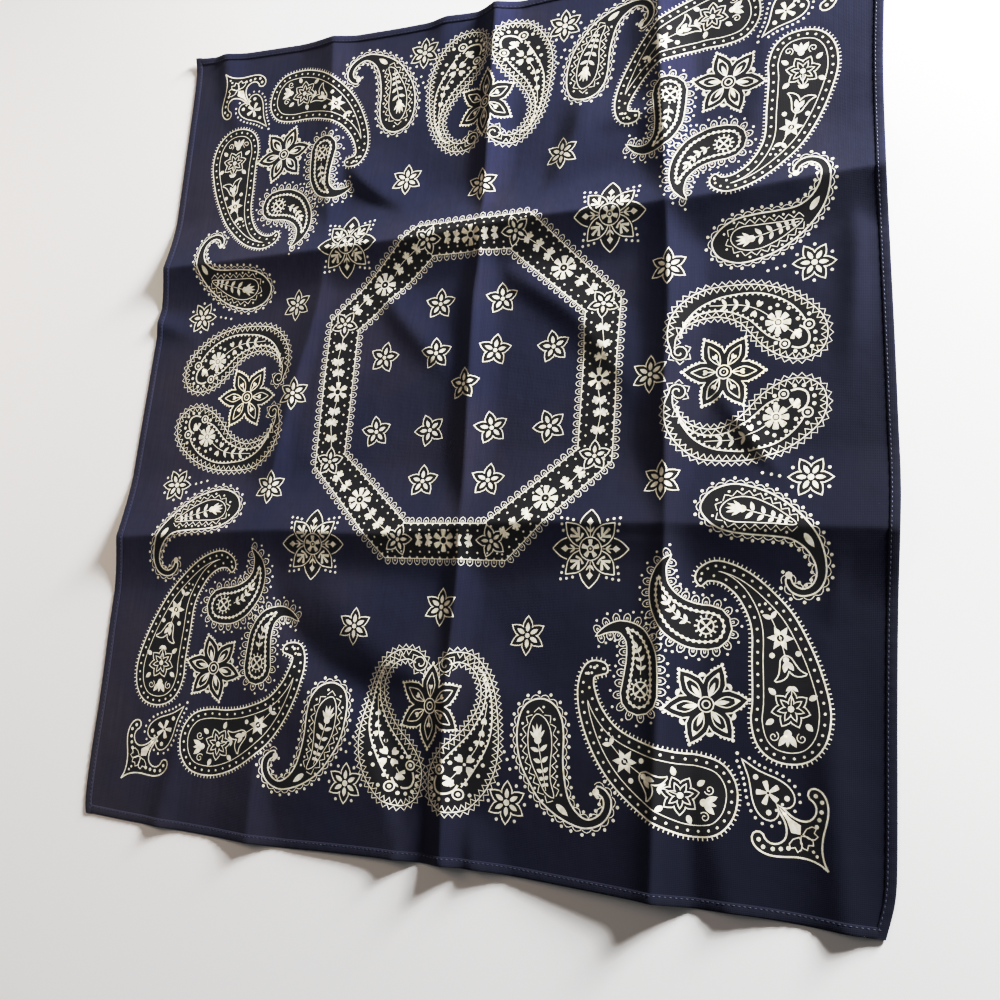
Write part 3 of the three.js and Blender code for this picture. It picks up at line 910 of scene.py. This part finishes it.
printed("print_blossoms",
        placed(eight_petals, *EIGHT_PETALS_AT),
        placed(beaded_blossom(CORNER_TIP, 10, drop_leaf, TIP_BEADS), *CORNER_BLOSSOM_AT),
        placed(small_blossom(0), *SMALL_SIDE_AT), placed(small_blossom(90), *SMALL_FOOT_AT),
        dots([(184, -58.8), (188.8, -59.8), (193, -60.8), (52, -226), (50, -221), (48, -217)],
             0.9))
printed("print_side_blossoms",
        placed(beaded_blossom(SIDE_TIP, 0, heart_on_stalk, EDGE_BEADS), *SIDE_BLOSSOM_AT),
        beaded_blossom(FOOT_TIP, 90, heart_on_stalk, EDGE_BEADS) * FOOT_SHARE + FOOT_BLOSSOM_AT)
corner_ground = np.vstack([corner_petal, corner_petal[::-1, ::-1]])
axis_ground = np.vstack([[(7, 0)], axis_petal, axis_petal[::-1] * (1, -1)])
dark_ground(circle(6.0, *EIGHT_PETALS_AT))
for quarter_turn in (0, 90, 180, 270):
    dark_ground(placed(corner_ground, *EIGHT_PETALS_AT, quarter_turn))
    dark_ground(placed(axis_ground, *EIGHT_PETALS_AT, quarter_turn))
dark_ground(placed(petal_line(6, CORNER_TIP, CORNER_NOTCH, turn=10), *CORNER_BLOSSOM_AT))
dark_ground(placed(petal_line(6, SIDE_TIP, SIDE_NOTCH, turn=0), *SIDE_BLOSSOM_AT))
dark_ground(petal_line(6, FOOT_TIP, FOOT_NOTCH, turn=90) * FOOT_SHARE + FOOT_BLOSSOM_AT)
dark_ground(placed(petal_line(6, SMALL_TIP, SMALL_NOTCH, turn=0), *SMALL_SIDE_AT))
dark_ground(placed(petal_line(6, SMALL_TIP, SMALL_NOTCH, turn=90), *SMALL_FOOT_AT))

# The ticked paisleys: two long ones to each corner, their heads outwards and their tails curled,
# with a ticked edge, a dotted band and a row of flowers and leaves inside.
BAND_DEPTH = 5.6
upright = outline([
    (181.3, -190), (181.7, -180), (181, -160), (180, -141), (173.5, -127), (165, -119.5),
    (157, -118), (153, -121), (150, -117), (152, -111.5), (160, -107.3), (170, -109),
    (180, -114), (191, -123), (201, -134), (209, -148), (215, -162), (220, -180), (219.8, -192),
    (216.5, -201), (210, -207.3), (200.5, -209.5), (191, -207.3), (184.5, -201)])
lying = outline([
    (175.8, -228), (173.5, -219), (167, -212), (156, -209), (143, -208.6), (129, -206),
    (113, -199.5), (103.5, -190), (98.5, -180), (97.5, -173), (101, -171.5), (105, -170),
    (104, -165.5), (98, -163.8), (93, -165.5), (89.5, -172), (88.5, -182), (91.5, -196),
    (100, -214), (112, -229), (130, -242.5), (145, -248.5), (156, -249.5), (166.5, -247),
    (173.5, -239)])
BAND_MARK = dots([(0, 2.8)], 0.75)
BELL_HALF = ((0, 2.4), (-2.6, 0.8), (-4.0, -3.0), (-5.8, -7.0), (-8.3, -9.4), (-4.8, -9.8),
             (-1.6, -8.4), (0, -5.8))
bell_edge = smooth(BELL_HALF)
big_bell = np.concatenate([
    stroke(bell_edge, 0.7), stroke(bell_edge * (-1, 1), 0.7), dots([(0, 0)], 1.6),
    leaf((-0.4, -1.2), (-2.4, -6.2), 1.4), leaf((0.4, -1.2), (2.4, -6.2), 1.4)])
small_bell = np.concatenate([
    leaf((0, 0), (0, -5.0), 2.0), leaf((-0.6, -2.6), (-4.4, -8.4), 1.6),
    leaf((0.6, -2.6), (4.4, -8.4), 1.6), leaf((0, -4.6), (0, -8.6), 0.9)])
outlined_flower = np.concatenate([
    stroke(petal_line(7, 9.8, 6.3), 0.6, closed=True),
    stroke(petal_line(7, 6.6, 2.9), 0.55, closed=True), dots([(0, 0)], 1.7),
    *[leaf((10.3 * math.cos(a), 10.3 * math.sin(a)), (15 * math.cos(a), 15 * math.sin(a)), 1.5)
      for a in np.radians((139, 30, 215, 317))]])
solid_star = np.concatenate([around(blot([(1.9, -1.6), (3.6, -1.5), (6.8, 0), (3.6, 1.5),
                                          (1.9, 1.6)]), 6, 60), ring(0, 0, 2.2, 0.75),
                             dots([(0, 0)], 0.8)])


def ticked(body):
    return np.concatenate([
        stroke(body, 0.85, closed=True), fringe(TICK, body, 2.4),
        stroke(inset(body, BAND_DEPTH), 0.5, closed=True),
        fringe(BAND_MARK, body, 5.8, inward=True)])


def long_filling(leaves, star_at, knob, pair, flower, foot):
    """The row of leaves, star, bell, leaves, flower and small bell, each at its x, y and turn."""
    return np.concatenate([
        placed(PAIR, *leaves), placed(solid_star, *star_at), placed(big_bell, *knob),
        placed(PAIR, *pair, 0.8), placed(outlined_flower, *flower), placed(small_bell, *foot),
        stroke([leaves[:2], star_at[:2], knob[:2]], 0.45), stroke([pair[:2], flower[:2]], 0.45),
        placed(np.concatenate([spiral(-6.9, -3.8, 2.7, -1.25, 60, 0.5),
                               spiral(6.9, -3.8, 2.7, 1.25, 120, 0.5)]), *foot)])


printed(
    "print_upright_paisleys", ticked(upright),
    long_filling((190.2, -136.6, 20), (195.0, -146.7, 0), (198.0, -157.7, 16),
                 (201.2, -171.0, 182), (200.9, -182.2, 0), (199.6, -192.6, 0)),
    dots([(191.0, -155.8), (204.0, -154.2)], 1.5),
    dots([(184.0, -129.8), (187.0, -129.2), (185.4, -133.4), (189.4, -131.8)], 0.75))
printed(
    "print_lying_paisleys", ticked(lying),
    long_filling((109.2, -207.6, 42), (117.3, -215.8, 60), (128.0, -222.3, 53),
                 (136.4, -226.6, 244), (146.9, -230.0, 78), (156.9, -232.1, 82)),
    dots([(126.5, -214.6), (121.3, -225.2)], 1.5),
    dots([(103.7, -200.6), (102.8, -204.4), (107.6, -202.1), (106.6, -205.3)], 0.75),
    dots([(97.5, -167.7), (94, -171)], 0.9))
dark_ground(upright)
dark_ground(lying)

# The scalloped paisleys: two small ones inside each corner, each fringed with loops and dots
# round a black band, with a thick inner line, a round flower and a leafy stalk.


def tapered(spine):
    """An outline about a spine given as x, y and half width, rounded at its wide end."""
    rows = np.array(spine, float)
    middle = smooth(rows[:, :2])
    at = np.append(0, np.cumsum(np.hypot(*np.diff(middle, axis=0).T)))
    marks = np.append(0, np.cumsum(np.hypot(*np.diff(rows[:, :2], axis=0).T)))
    half = np.interp(at * marks[-1] / at[-1], marks, rows[:, 2])
    run = np.gradient(middle, axis=0)
    run /= np.hypot(*run.T)[:, None]
    aside = np.stack([-run[:, 1], run[:, 0]], 1)
    head = math.atan2(-run[0, 1], -run[0, 0])
    turn = head + np.radians(np.arange(60, -61, -30))
    cap = middle[0] + rows[0, 2] * np.stack([np.cos(turn), np.sin(turn)], 1)
    return anticlockwise(np.vstack([cap, (middle + aside * half[:, None])[:-1], middle[-1:],
                                    (middle - aside * half[:, None])[-2::-1]]))


SCALLOP_DEPTH = 4.0
SCALLOP_HOOD = np.concatenate([placed(HOOD, size=1.12), dots([(2.9, 5.4)], 0.75)])
beside_head = tapered([(158.5, -142.8, 11.7), (150, -142.2, 12), (142, -138.5, 11),
                       (135, -131, 8.3), (131.5, -122, 5.6), (132, -114, 3.6),
                       (134.2, -109, 1.8), (137.5, -105, 0.6)])
above_head = tapered([(123.3, -181, 10.4), (123.8, -170, 9.4), (123.4, -160, 8.4),
                      (119.5, -150, 6.2), (111.5, -145, 3.5), (104, -146.2, 2.2),
                      (97, -150.5, 0.6)])


def scalloped(body):
    inner = inset(body, SCALLOP_DEPTH)
    return np.concatenate([
        stroke(body, 0.7, closed=True), fringe(SCALLOP_HOOD, body, 5.8),
        stroke(inner, 0.7, closed=True), fringe(dots([(0, 0.1)], 1.0), inner, 3.0)])


printed("print_scalloped_paisleys", scalloped(beside_head), scalloped(above_head),
        placed(gear, 156.6, -142.2), placed(gear, 124, -178),
        sprig([(148.5, -141), (141, -137), (135.8, -130)], 4.4, 3.6, 0.95),
        sprig([(123.6, -170), (123.4, -163), (120.8, -156)], 4.4, 3.6, 0.95))
dark_ground(beside_head)
dark_ground(above_head)

# The hooked paisleys: one beside each small blossom, its tail bent round to a dot, with a lace
# of arcs and dots outside and a leaf-shaped middle that holds a palmette and a leafy branch.
side_hook = outline([
    (152, -79), (155, -71), (162, -66.5), (170, -65), (180, -67), (190, -71), (200, -78),
    (208, -86), (214, -95), (217, -105), (217, -115), (213, -122), (206, -124.5), (200, -122.5),
    (197, -117), (199, -114), (201, -118.5), (205.5, -120.8), (210, -119), (212.5, -114),
    (211.5, -107), (207, -100), (200, -95.5), (190, -94), (176, -93), (165, -91), (157, -86.5)])
foot_hook = outline([
    (67, -186.5), (59, -190), (55.3, -198), (55, -210), (58, -222), (63.5, -231.5),
    (70, -240), (80, -247), (90, -251), (98, -252), (106, -249), (110.5, -243), (111, -236),
    (107, -231), (102.5, -230), (103, -233), (106.5, -236), (106.8, -241), (103.5, -245.5),
    (98, -247.5), (92, -244.5), (87, -238), (84, -228), (82.5, -218), (82, -205), (80, -196),
    (75, -189)])
side_leaf = outline([
    (162.8, -79.1), (166.3, -74.5), (172.4, -72.4), (179.5, -72.9), (186.5, -75.7),
    (193.5, -79.8), (202.5, -87.6), (190.2, -87.3), (177.2, -86.9), (168.4, -86.3),
    (163.9, -83.7)])
foot_leaf = outline([
    (65.4, -195.1), (70.4, -197), (74.2, -203), (75.6, -211.8), (75.4, -220.7), (76, -229.5),
    (78.6, -238.4), (73.8, -236.7), (68.4, -228.5), (63.8, -220), (61.6, -211.3),
    (61.8, -201.4)])
LACE = np.concatenate([
    stroke([(-2.7, 0.6), (-1.5, 1.8), (0, 2.3), (1.5, 1.8), (2.7, 0.6)], 0.45),
    dots([(2.75, 3.2)], 0.95)])
POINTED_ARC = np.concatenate([
    stroke([(-2.7, 0.9), (-1.5, 2.2), (0, 3.5), (1.5, 2.2), (2.7, 0.9)], 0.45),
    dots([(2.75, 4.0)], 0.75)])
PALM_LEAVES = ((0, 10.4), (17, 10.2), (-17, 10.2), (40, 7.8), (-40, 7.8))
palm = np.concatenate([blot(circle(2.4)), *[
    leaf((0, 0), (reach * math.cos(math.radians(a)), reach * math.sin(math.radians(a))), 1.05)
    for a, reach in PALM_LEAVES]])


def branch(start, run, leaf_rows):
    """A stalk with a pair of upright leaves at each place along it, shorter towards its end."""
    pairs = [placed(leaf((0.4, side * 0.5), (-length * 0.45, side * length), 1.15), u)
             for u, length in leaf_rows for side in (-1, 1)]
    stalk = stroke([(0, 0), (leaf_rows[-1][0] + 3, 0)], 0.45)
    return placed(np.concatenate([stalk] + pairs), *start, run)


BRANCH_ROWS = ((5.5, 5.0), (11.5, 4.3), (16.8, 3.4), (20.8, 2.6), (24.2, 1.8))
printed(
    "print_hooked_paisleys",
    stroke(side_hook, 0.9, closed=True), fringe(LACE, side_hook, 5.4),
    stroke(foot_hook, 0.9, closed=True), fringe(LACE, foot_hook, 5.4),
    stroke(side_leaf, 0.55, closed=True), fringe(POINTED_ARC, side_leaf, 5.5),
    stroke(foot_leaf, 0.55, closed=True), fringe(POINTED_ARC, foot_leaf, 5.5),
    dots([(198.7, -114), (102.3, -233)], 2.0),
    placed(palm, 174.4, -79.2, 176, 0.86), branch((174.4, -79.2), -16, BRANCH_ROWS),
    placed(palm, 67.2, -209.0, 98, 0.86), branch((67.2, -209.0), -76, BRANCH_ROWS),
    leaf((206.5, -92.5), (211.5, -99.5), 1.7), leaf((80.4, -241.7), (87.4, -246.9), 1.7))
dark_ground(side_hook)
dark_ground(foot_hook)

# The paired paisleys: two face each other about the blossom in the middle of each side, their
# tails wound to a spiral. The thin edge has teeth on both its sides, and the head holds two
# pinned lines, a flower and a branch of leaves.
side_pair = smooth([
    (133.8, 14), (134.7, 20.8), (138.8, 26.7), (144.7, 30.8), (150.5, 32.5), (157, 33),
    (163.8, 31.3), (169.7, 28.3), (173.8, 24), (178, 19), (182, 14.6), (188, 10), (193.8, 7),
    (201.3, 5.4), (208, 6.7), (213.8, 10.8), (216.3, 16.7), (216.3, 23.3), (213.8, 30),
    (208.8, 35.8), (200.5, 42.5), (191.3, 47.5), (179.7, 50.8), (169.7, 51.7), (158, 51.4),
    (148.8, 50), (141.3, 45.8), (135.5, 40), (131.3, 32.5), (129.7, 25), (130, 18.3)])
foot_pair = smooth([
    (-2.9, -170.6), (-5.5, -167), (-9.8, -164.6), (-15.1, -163.8), (-21.2, -164.6),
    (-26.8, -168), (-31.6, -173.3), (-35.4, -179.2), (-38.4, -186.5), (-40.4, -194.8),
    (-41.8, -203.9), (-42.6, -212), (-42.6, -220), (-41.6, -227), (-39.6, -233),
    (-36.6, -238.9), (-32.6, -243.9), (-28.4, -248.2), (-23.6, -251.3), (-14.4, -252.9),
    (-9.6, -252), (-5.8, -249.8), (-2.8, -246.4), (-1.4, -242), (-0.8, -236.8), (-1.2, -231.6),
    (-3.6, -225.4), (-9.4, -218), (-18.3, -209.8), (-25.3, -201), (-29.4, -192.2),
    (-29.9, -186), (-28.4, -180.4), (-25, -174.8), (-20.4, -171), (-14.4, -169.6),
    (-9.6, -171.4)])
heart_flower = np.concatenate([around(placed(blot(HEART), 1.6, size=0.72), 4, 45),
                               dots([(0, 0)], 0.9)])
PIN = blot([(-0.75, 0.2), (0.75, 0.2), (0.5, 1.2), (0, 1.5), (-0.5, 1.2)])
PIN_PITCH = 3.2
CURL_REACH = 4.6
TEETH_FROM_CURL = 0.84
INNER_FROM_CURL = 2.1
OUTER_TEETH = ((-0.5, 0.6), (0, 2.9), (0.5, 0.6))
INNER_TEETH = ((-0.5, 0.2), (0, 3.3), (0.5, 0.2))


def curl(x, y, start, turns):
    """The spiral line at a tail, from its outside to its middle."""
    t = np.linspace(0, 1, 20)
    angle = math.radians(start) + t * turns * 2 * math.pi
    reach = CURL_REACH * np.interp(t, (0, 0.5, 1), (1, 0.85, 0.12))
    return np.stack([x + reach * np.cos(angle), y + reach * np.sin(angle)], 1)


def toothed(body, whole, middle, pitch, inner_lines):
    """A thin edge that ends in its curl, teeth on both its sides, and pinned lines inside."""
    clear = np.hypot(*(whole - middle).T) > CURL_REACH * TEETH_FROM_CURL
    fat = np.hypot(*(body - middle).T) > CURL_REACH * INNER_FROM_CURL
    return np.concatenate([
        stroke(whole, 0.6),
        fringe(stroke(np.array(OUTER_TEETH) * (pitch, 1), 0.4), longest_run(whole, clear),
               pitch, closed=False),
        fringe(stroke(np.array(INNER_TEETH) * (pitch, 1), 0.4), longest_run(body, fat),
               pitch, inward=True, closed=False),
        *[np.concatenate([stroke(line, 0.75), fringe(PIN, line, PIN_PITCH, True, False)])
          for line in inner_lines]])


def to_foot(shape):
    """What fills the upper side pair's head, turned to the left foot pair's."""
    return np.array(shape)[..., ::-1] * (-1.1, -1.0) + (7.2, -36.0)


def heart_at(x, y, turn, size=0.6):
    return placed(blot(HEART), x, y, turn, size)


SIDE_CURL = (136.6, 11.6)
FOOT_SHIFT = np.array([-1.6, 0.0])
FOOT_CURL = (-8.5, -171.6)
SIDE_INNER = (
    smooth([(136.5, 20.5), (138.7, 27.6), (141.9, 31.8), (146.8, 35.2), (153.4, 36.7),
            (161.7, 36), (168.4, 33.5), (175, 29.6), (180.6, 24), (186.1, 19.2), (192.2, 16.4)]),
    smooth([(205, 27.4), (201.8, 32.6), (195.7, 38.7), (188.2, 43.1), (180, 45.7), (172, 46.3),
            (166.4, 45.9), (158.1, 44.8), (150.7, 41.9), (145, 37.9), (140.2, 32),
            (137.8, 27.7)]))
FOOT_INNER = (
    smooth([(-24, -170.8), (-29.9, -174.6), (-34.9, -184), (-37.2, -194), (-37.8, -205),
            (-36.6, -213), (-34, -219.5), (-30.6, -225.8), (-26.4, -232.6), (-21.8, -238.6)]),
    smooth([(-9.8, -226.6), (-13.2, -222), (-18.7, -215.8), (-24.2, -209.7), (-27.9, -204),
            (-30.6, -198.5), (-32.4, -192.8), (-33, -187), (-32.2, -181.9), (-30, -177.6)]))
SIDE_BRANCH = np.concatenate([
    stroke(smooth([(152, 40.2), (157, 39.9), (165, 39.8), (171.9, 38.8), (177.5, 36.7),
                   (181.7, 34.3), (190, 27.6)]), 0.45),
    *[placed(np.concatenate([leaf((0, 0), (-2.8, side * 3.8), 1.0) for side in (-1, 1)]), x, y,
             turn) for x, y, turn in ((161.4, 39.9, -2), (167.8, 39.7, -4), (174.0, 38.2, -14))],
    heart_at(178.8, 37.4, 62), heart_at(177.6, 35.4, 252)])
FOOT_BRANCH = np.concatenate([
    stroke(smooth([(-34.2, -192), (-33.6, -198), (-32.4, -206), (-31.2, -212), (-29.4, -217),
                   (-25.4, -223)]), 0.45),
    heart_at(-33.4, -199.4, -84), heart_at(-32.5, -206.2, -84),
    heart_at(-31.4, -212.4, -134, 0.5), heart_at(-30.9, -212.6, -36, 0.5)])


def pair_filling(flower):
    """What fills a paired paisley's head, laid out for the upper one of the right side."""
    return np.concatenate([
        placed(flower, 190.2, 27.4), stroke([(194, 24.4), (200.4, 19.6)], 0.45),
        placed(fan(4.6, 1.15, 62), 198.8, 20.8, -42), placed(fan(3.4, 1.0, 50), 200, 19.8, 40),
        stroke(smooth([(201.7, 24.6), (204.6, 23.1), (206.6, 20), (207, 16.6), (205.7, 13.3),
                       (201.6, 11.8), (197.7, 12.7)]), 1.1),
        ring(206.7, 25.2, 2.7, 0.85), ring(194.0, 14.5, 2.5, 0.85),
        dots([(206.7, 25.2), (194.0, 14.5)], 1.15),
        dots([(185.7, 36.2), (189.6, 37.6), (195.6, 35.4), (206.6, 31.2), (200.7, 28.8),
              (181.4, 30.4), (189.9, 19.9), (189.2, 15.3), (210, 20.4), (210, 16), (208.4, 12.2),
              (204.5, 9.9), (199.7, 10.0)], 1.15)])


foot_pair = foot_pair + FOOT_SHIFT
side_whole = np.vstack([side_pair, curl(*SIDE_CURL, 170, 1.5)])
foot_whole = np.vstack([curl(*FOOT_CURL, 10, -1.5)[::-1], foot_pair])
printed("print_side_pairs", toothed(side_pair, side_whole, SIDE_CURL, 4.3, SIDE_INNER),
        pair_filling(blunt_flower(8, 6.9, 1.75, 1.9, 1.35)), SIDE_BRANCH)
printed("print_foot_pairs", toothed(foot_pair, foot_whole, FOOT_CURL, 3.8,
                                   [line + FOOT_SHIFT for line in FOOT_INNER]),
        to_foot(pair_filling(heart_flower)) + FOOT_SHIFT, FOOT_BRANCH + FOOT_SHIFT)
dark_ground(circle(CURL_REACH, *SIDE_CURL))
dark_ground(circle(CURL_REACH, *FOOT_CURL))
dark_ground(side_pair)
dark_ground(foot_pair)

# The corner ornaments: a dotted spade with a flower in it, and below it a pair of scrolls that
# end in a point towards the corner of the cloth, all drawn along x and turned to the corner.
SPADE_HALF = ((-28.7, 0), (-24, 1.5), (-20, 2.9), (-15.5, 5.3), (-10.5, 8.2), (-5, 10),
              (0, 9.6), (3.1, 7), (3.2, 3.5), (1.2, 1.1), (-1.9, 0))
SCROLL_HALF = ((1.5, 1.2), (7, 2.2), (11, 4.3), (13.4, 7.5), (13.2, 11.5), (11, 14.3),
               (8, 15.2), (5.2, 14.6), (3.2, 15.6), (2.3, 17.8), (3.8, 20.3), (7, 21.4),
               (11.3, 20.6), (15.6, 17.8), (19.4, 13.3), (23, 8.3), (27.3, 4), (32, 1.2),
               (36.5, 0))
KITE_HALF = ((0.5, 0.2), (7.5, 1.1), (12.8, 3.0), (16, 0))
CORNER = (196.0, -230.5, -48.9)
spade = smooth(SPADE_HALF)
spade = np.vstack([spade, spade[-2:0:-1] * (1, -1)])[::-1]
scroll = smooth(SCROLL_HALF)
scroll_dots = [(u, side * v) for side in (-1, 1)
               for u, v in ((6.2, 17.9), (10.2, 18.4), (13.6, 15.2), (15.8, 12.0), (17.6, 8.8))]
corner_ornament = np.concatenate([
    stroke(spade, 0.7, closed=True), fringe(dots([(0, 2.6)], 0.8), spade, 3.1),
    placed(around(lobe(6.0, 1.35, 0.6), 5), -8.2, 0, 12),
    dots([(-17.8, 0), (-0.8, 5.8), (-0.8, -5.8)], 1.4), dots([(-32.2, 0)], 0.9),
    stroke(scroll, 0.9), stroke(scroll * (1, -1), 0.9),
    blot(KITE_HALF + tuple((u, -v) for u, v in KITE_HALF[::-1])), dots(scroll_dots, 1.1),
    dots([(25.6, 0), (28.2, 0)], 0.8),
    *[placed(stroke(HEART, 0.55, closed=True), 16.6, side * 1.2, side * 62)
      for side in (-1, 0, 1)]])
printed("print_corner_ornaments", placed(corner_ornament, *CORNER))
dark_ground(placed(spade, *CORNER))
dark_ground(placed(np.vstack([scroll, scroll[::-1] * (1, -1)]), *CORNER))

# The black of the print: how far each point of the panel lies outside the black shapes, kept on
# the panel so that its cotton can turn black there. Far points need no exact distance.


def distance_outside(points, line):
    """Distances to a closed line, negative inside it, as far as the reach."""
    far = np.full(len(points), GROUND_REACH)
    low, high = line.min(0) - GROUND_REACH, line.max(0) + GROUND_REACH
    near = np.flatnonzero(((points > low) & (points < high)).all(1))
    p = points[near][:, None]
    a, run = line[None], np.roll(line, -1, 0)[None] - line[None]
    share = np.clip(((p - a) * run).sum(-1) / np.maximum((run ** 2).sum(-1), 1e-9), 0, 1)
    off = p - a - run * share[..., None]
    distance = np.sqrt((off ** 2).sum(-1).min(1))
    cuts = (a[..., 1] > p[..., 1]) != (a[..., 1] + run[..., 1] > p[..., 1])
    rise = np.where(run[..., 1] == 0, 1, run[..., 1])
    crossed = cuts & (p[..., 0] < a[..., 0] + run[..., 0] * (p[..., 1] - a[..., 1]) / rise)
    inside = crossed.sum(1) % 2 == 1
    far[near] = np.where(inside, -distance, distance)
    return np.clip(far, -GROUND_REACH, GROUND_REACH)


spots = np.empty(len(panel.data.vertices) * 3, np.float32)
panel.data.vertices.foreach_get("co", spots)
spots = spots.reshape(-1, 3)[:, :2] / MM - (PRINT_MIDDLE.x, PRINT_MIDDLE.y)
outside = np.maximum(distance_outside(spots, ring_out), -distance_outside(spots, ring_in))
for line in grounds:
    outside = np.minimum(outside, distance_outside(spots, line))
ground = panel.data.attributes.new("ground", "FLOAT", "POINT")
ground.data.foreach_set("value", (GROUND_REACH - outside).astype(np.float32))

# The floor and the light: a plain pale surface, a broad low lamp beyond the upper right corner
# that rakes across the folds, a weak warm one from the left, and an even pale sky. The tone
# curve is that of a pocket camera, which keeps pale colours bright in the shade.
FLOOR_SIZE = 16.0
FLOOR_PALE = (0.82, 0.82, 0.82, 1)
bpy.ops.mesh.primitive_plane_add(size=FLOOR_SIZE, location=(0, 0, 0))
floor = bpy.context.object
floor.name = "floor"
# Painted board: pale, quite matt, the same all over.
floor_paint, floor_shader = new_material("matt_pale_board")
floor_shader.inputs["Base Color"].default_value = FLOOR_PALE
floor_shader.inputs["Roughness"].default_value = 0.9
floor.data.materials.append(floor_paint)

KEY_PLACE = Vector((0.94, 0.84, 0.26))
KEY_SIZE = 0.36
KEY_WATTS = 84.0
FILL_PLACE = Vector((-0.8, 0.1, 0.5))
FILL_SIZE = 0.5
FILL_WATTS = 2.5
FILL_COLOUR = (1.0, 0.84, 0.72)
SKY_STRENGTH = 0.06
TONES = ((0.012, 0.016), (0.04, 0.047), (0.1, 0.12), (0.25, 0.43), (0.5, 0.66), (1.0, 0.86),
         (2.0, 1.0))


def lamp(name, place, size, watts, colour=(1.0, 1.0, 1.0)):
    """A round lamp that points at the middle of the cloth."""
    data = bpy.data.lights.new(name, "AREA")
    data.shape = "DISK"
    data.size = size
    data.energy = watts
    data.color = colour
    light = in_scene(name, data)
    light.location = place
    light.rotation_euler = (-place).to_track_quat("-Z", "Y").to_euler()


lamp("key", KEY_PLACE, KEY_SIZE, KEY_WATTS)
lamp("fill", FILL_PLACE, FILL_SIZE, FILL_WATTS, FILL_COLOUR)
world = bpy.data.worlds.new("studio")
world.use_nodes = True
world.node_tree.nodes["Background"].inputs["Color"].default_value = (1.0, 1.0, 1.0, 1)
world.node_tree.nodes["Background"].inputs["Strength"].default_value = SKY_STRENGTH
bpy.context.scene.world = world
view = bpy.context.scene.view_settings
view.view_transform = "Standard"
view.use_curve_mapping = True
view.curve_mapping.use_clip = False
tone_curve = view.curve_mapping.curves[3].points
tone_curve[-1].location = TONES[-1]
for tone in TONES[:-1]:
    tone_curve.new(*tone)
for point in tone_curve:
    point.handle_type = "VECTOR"
view.curve_mapping.update()
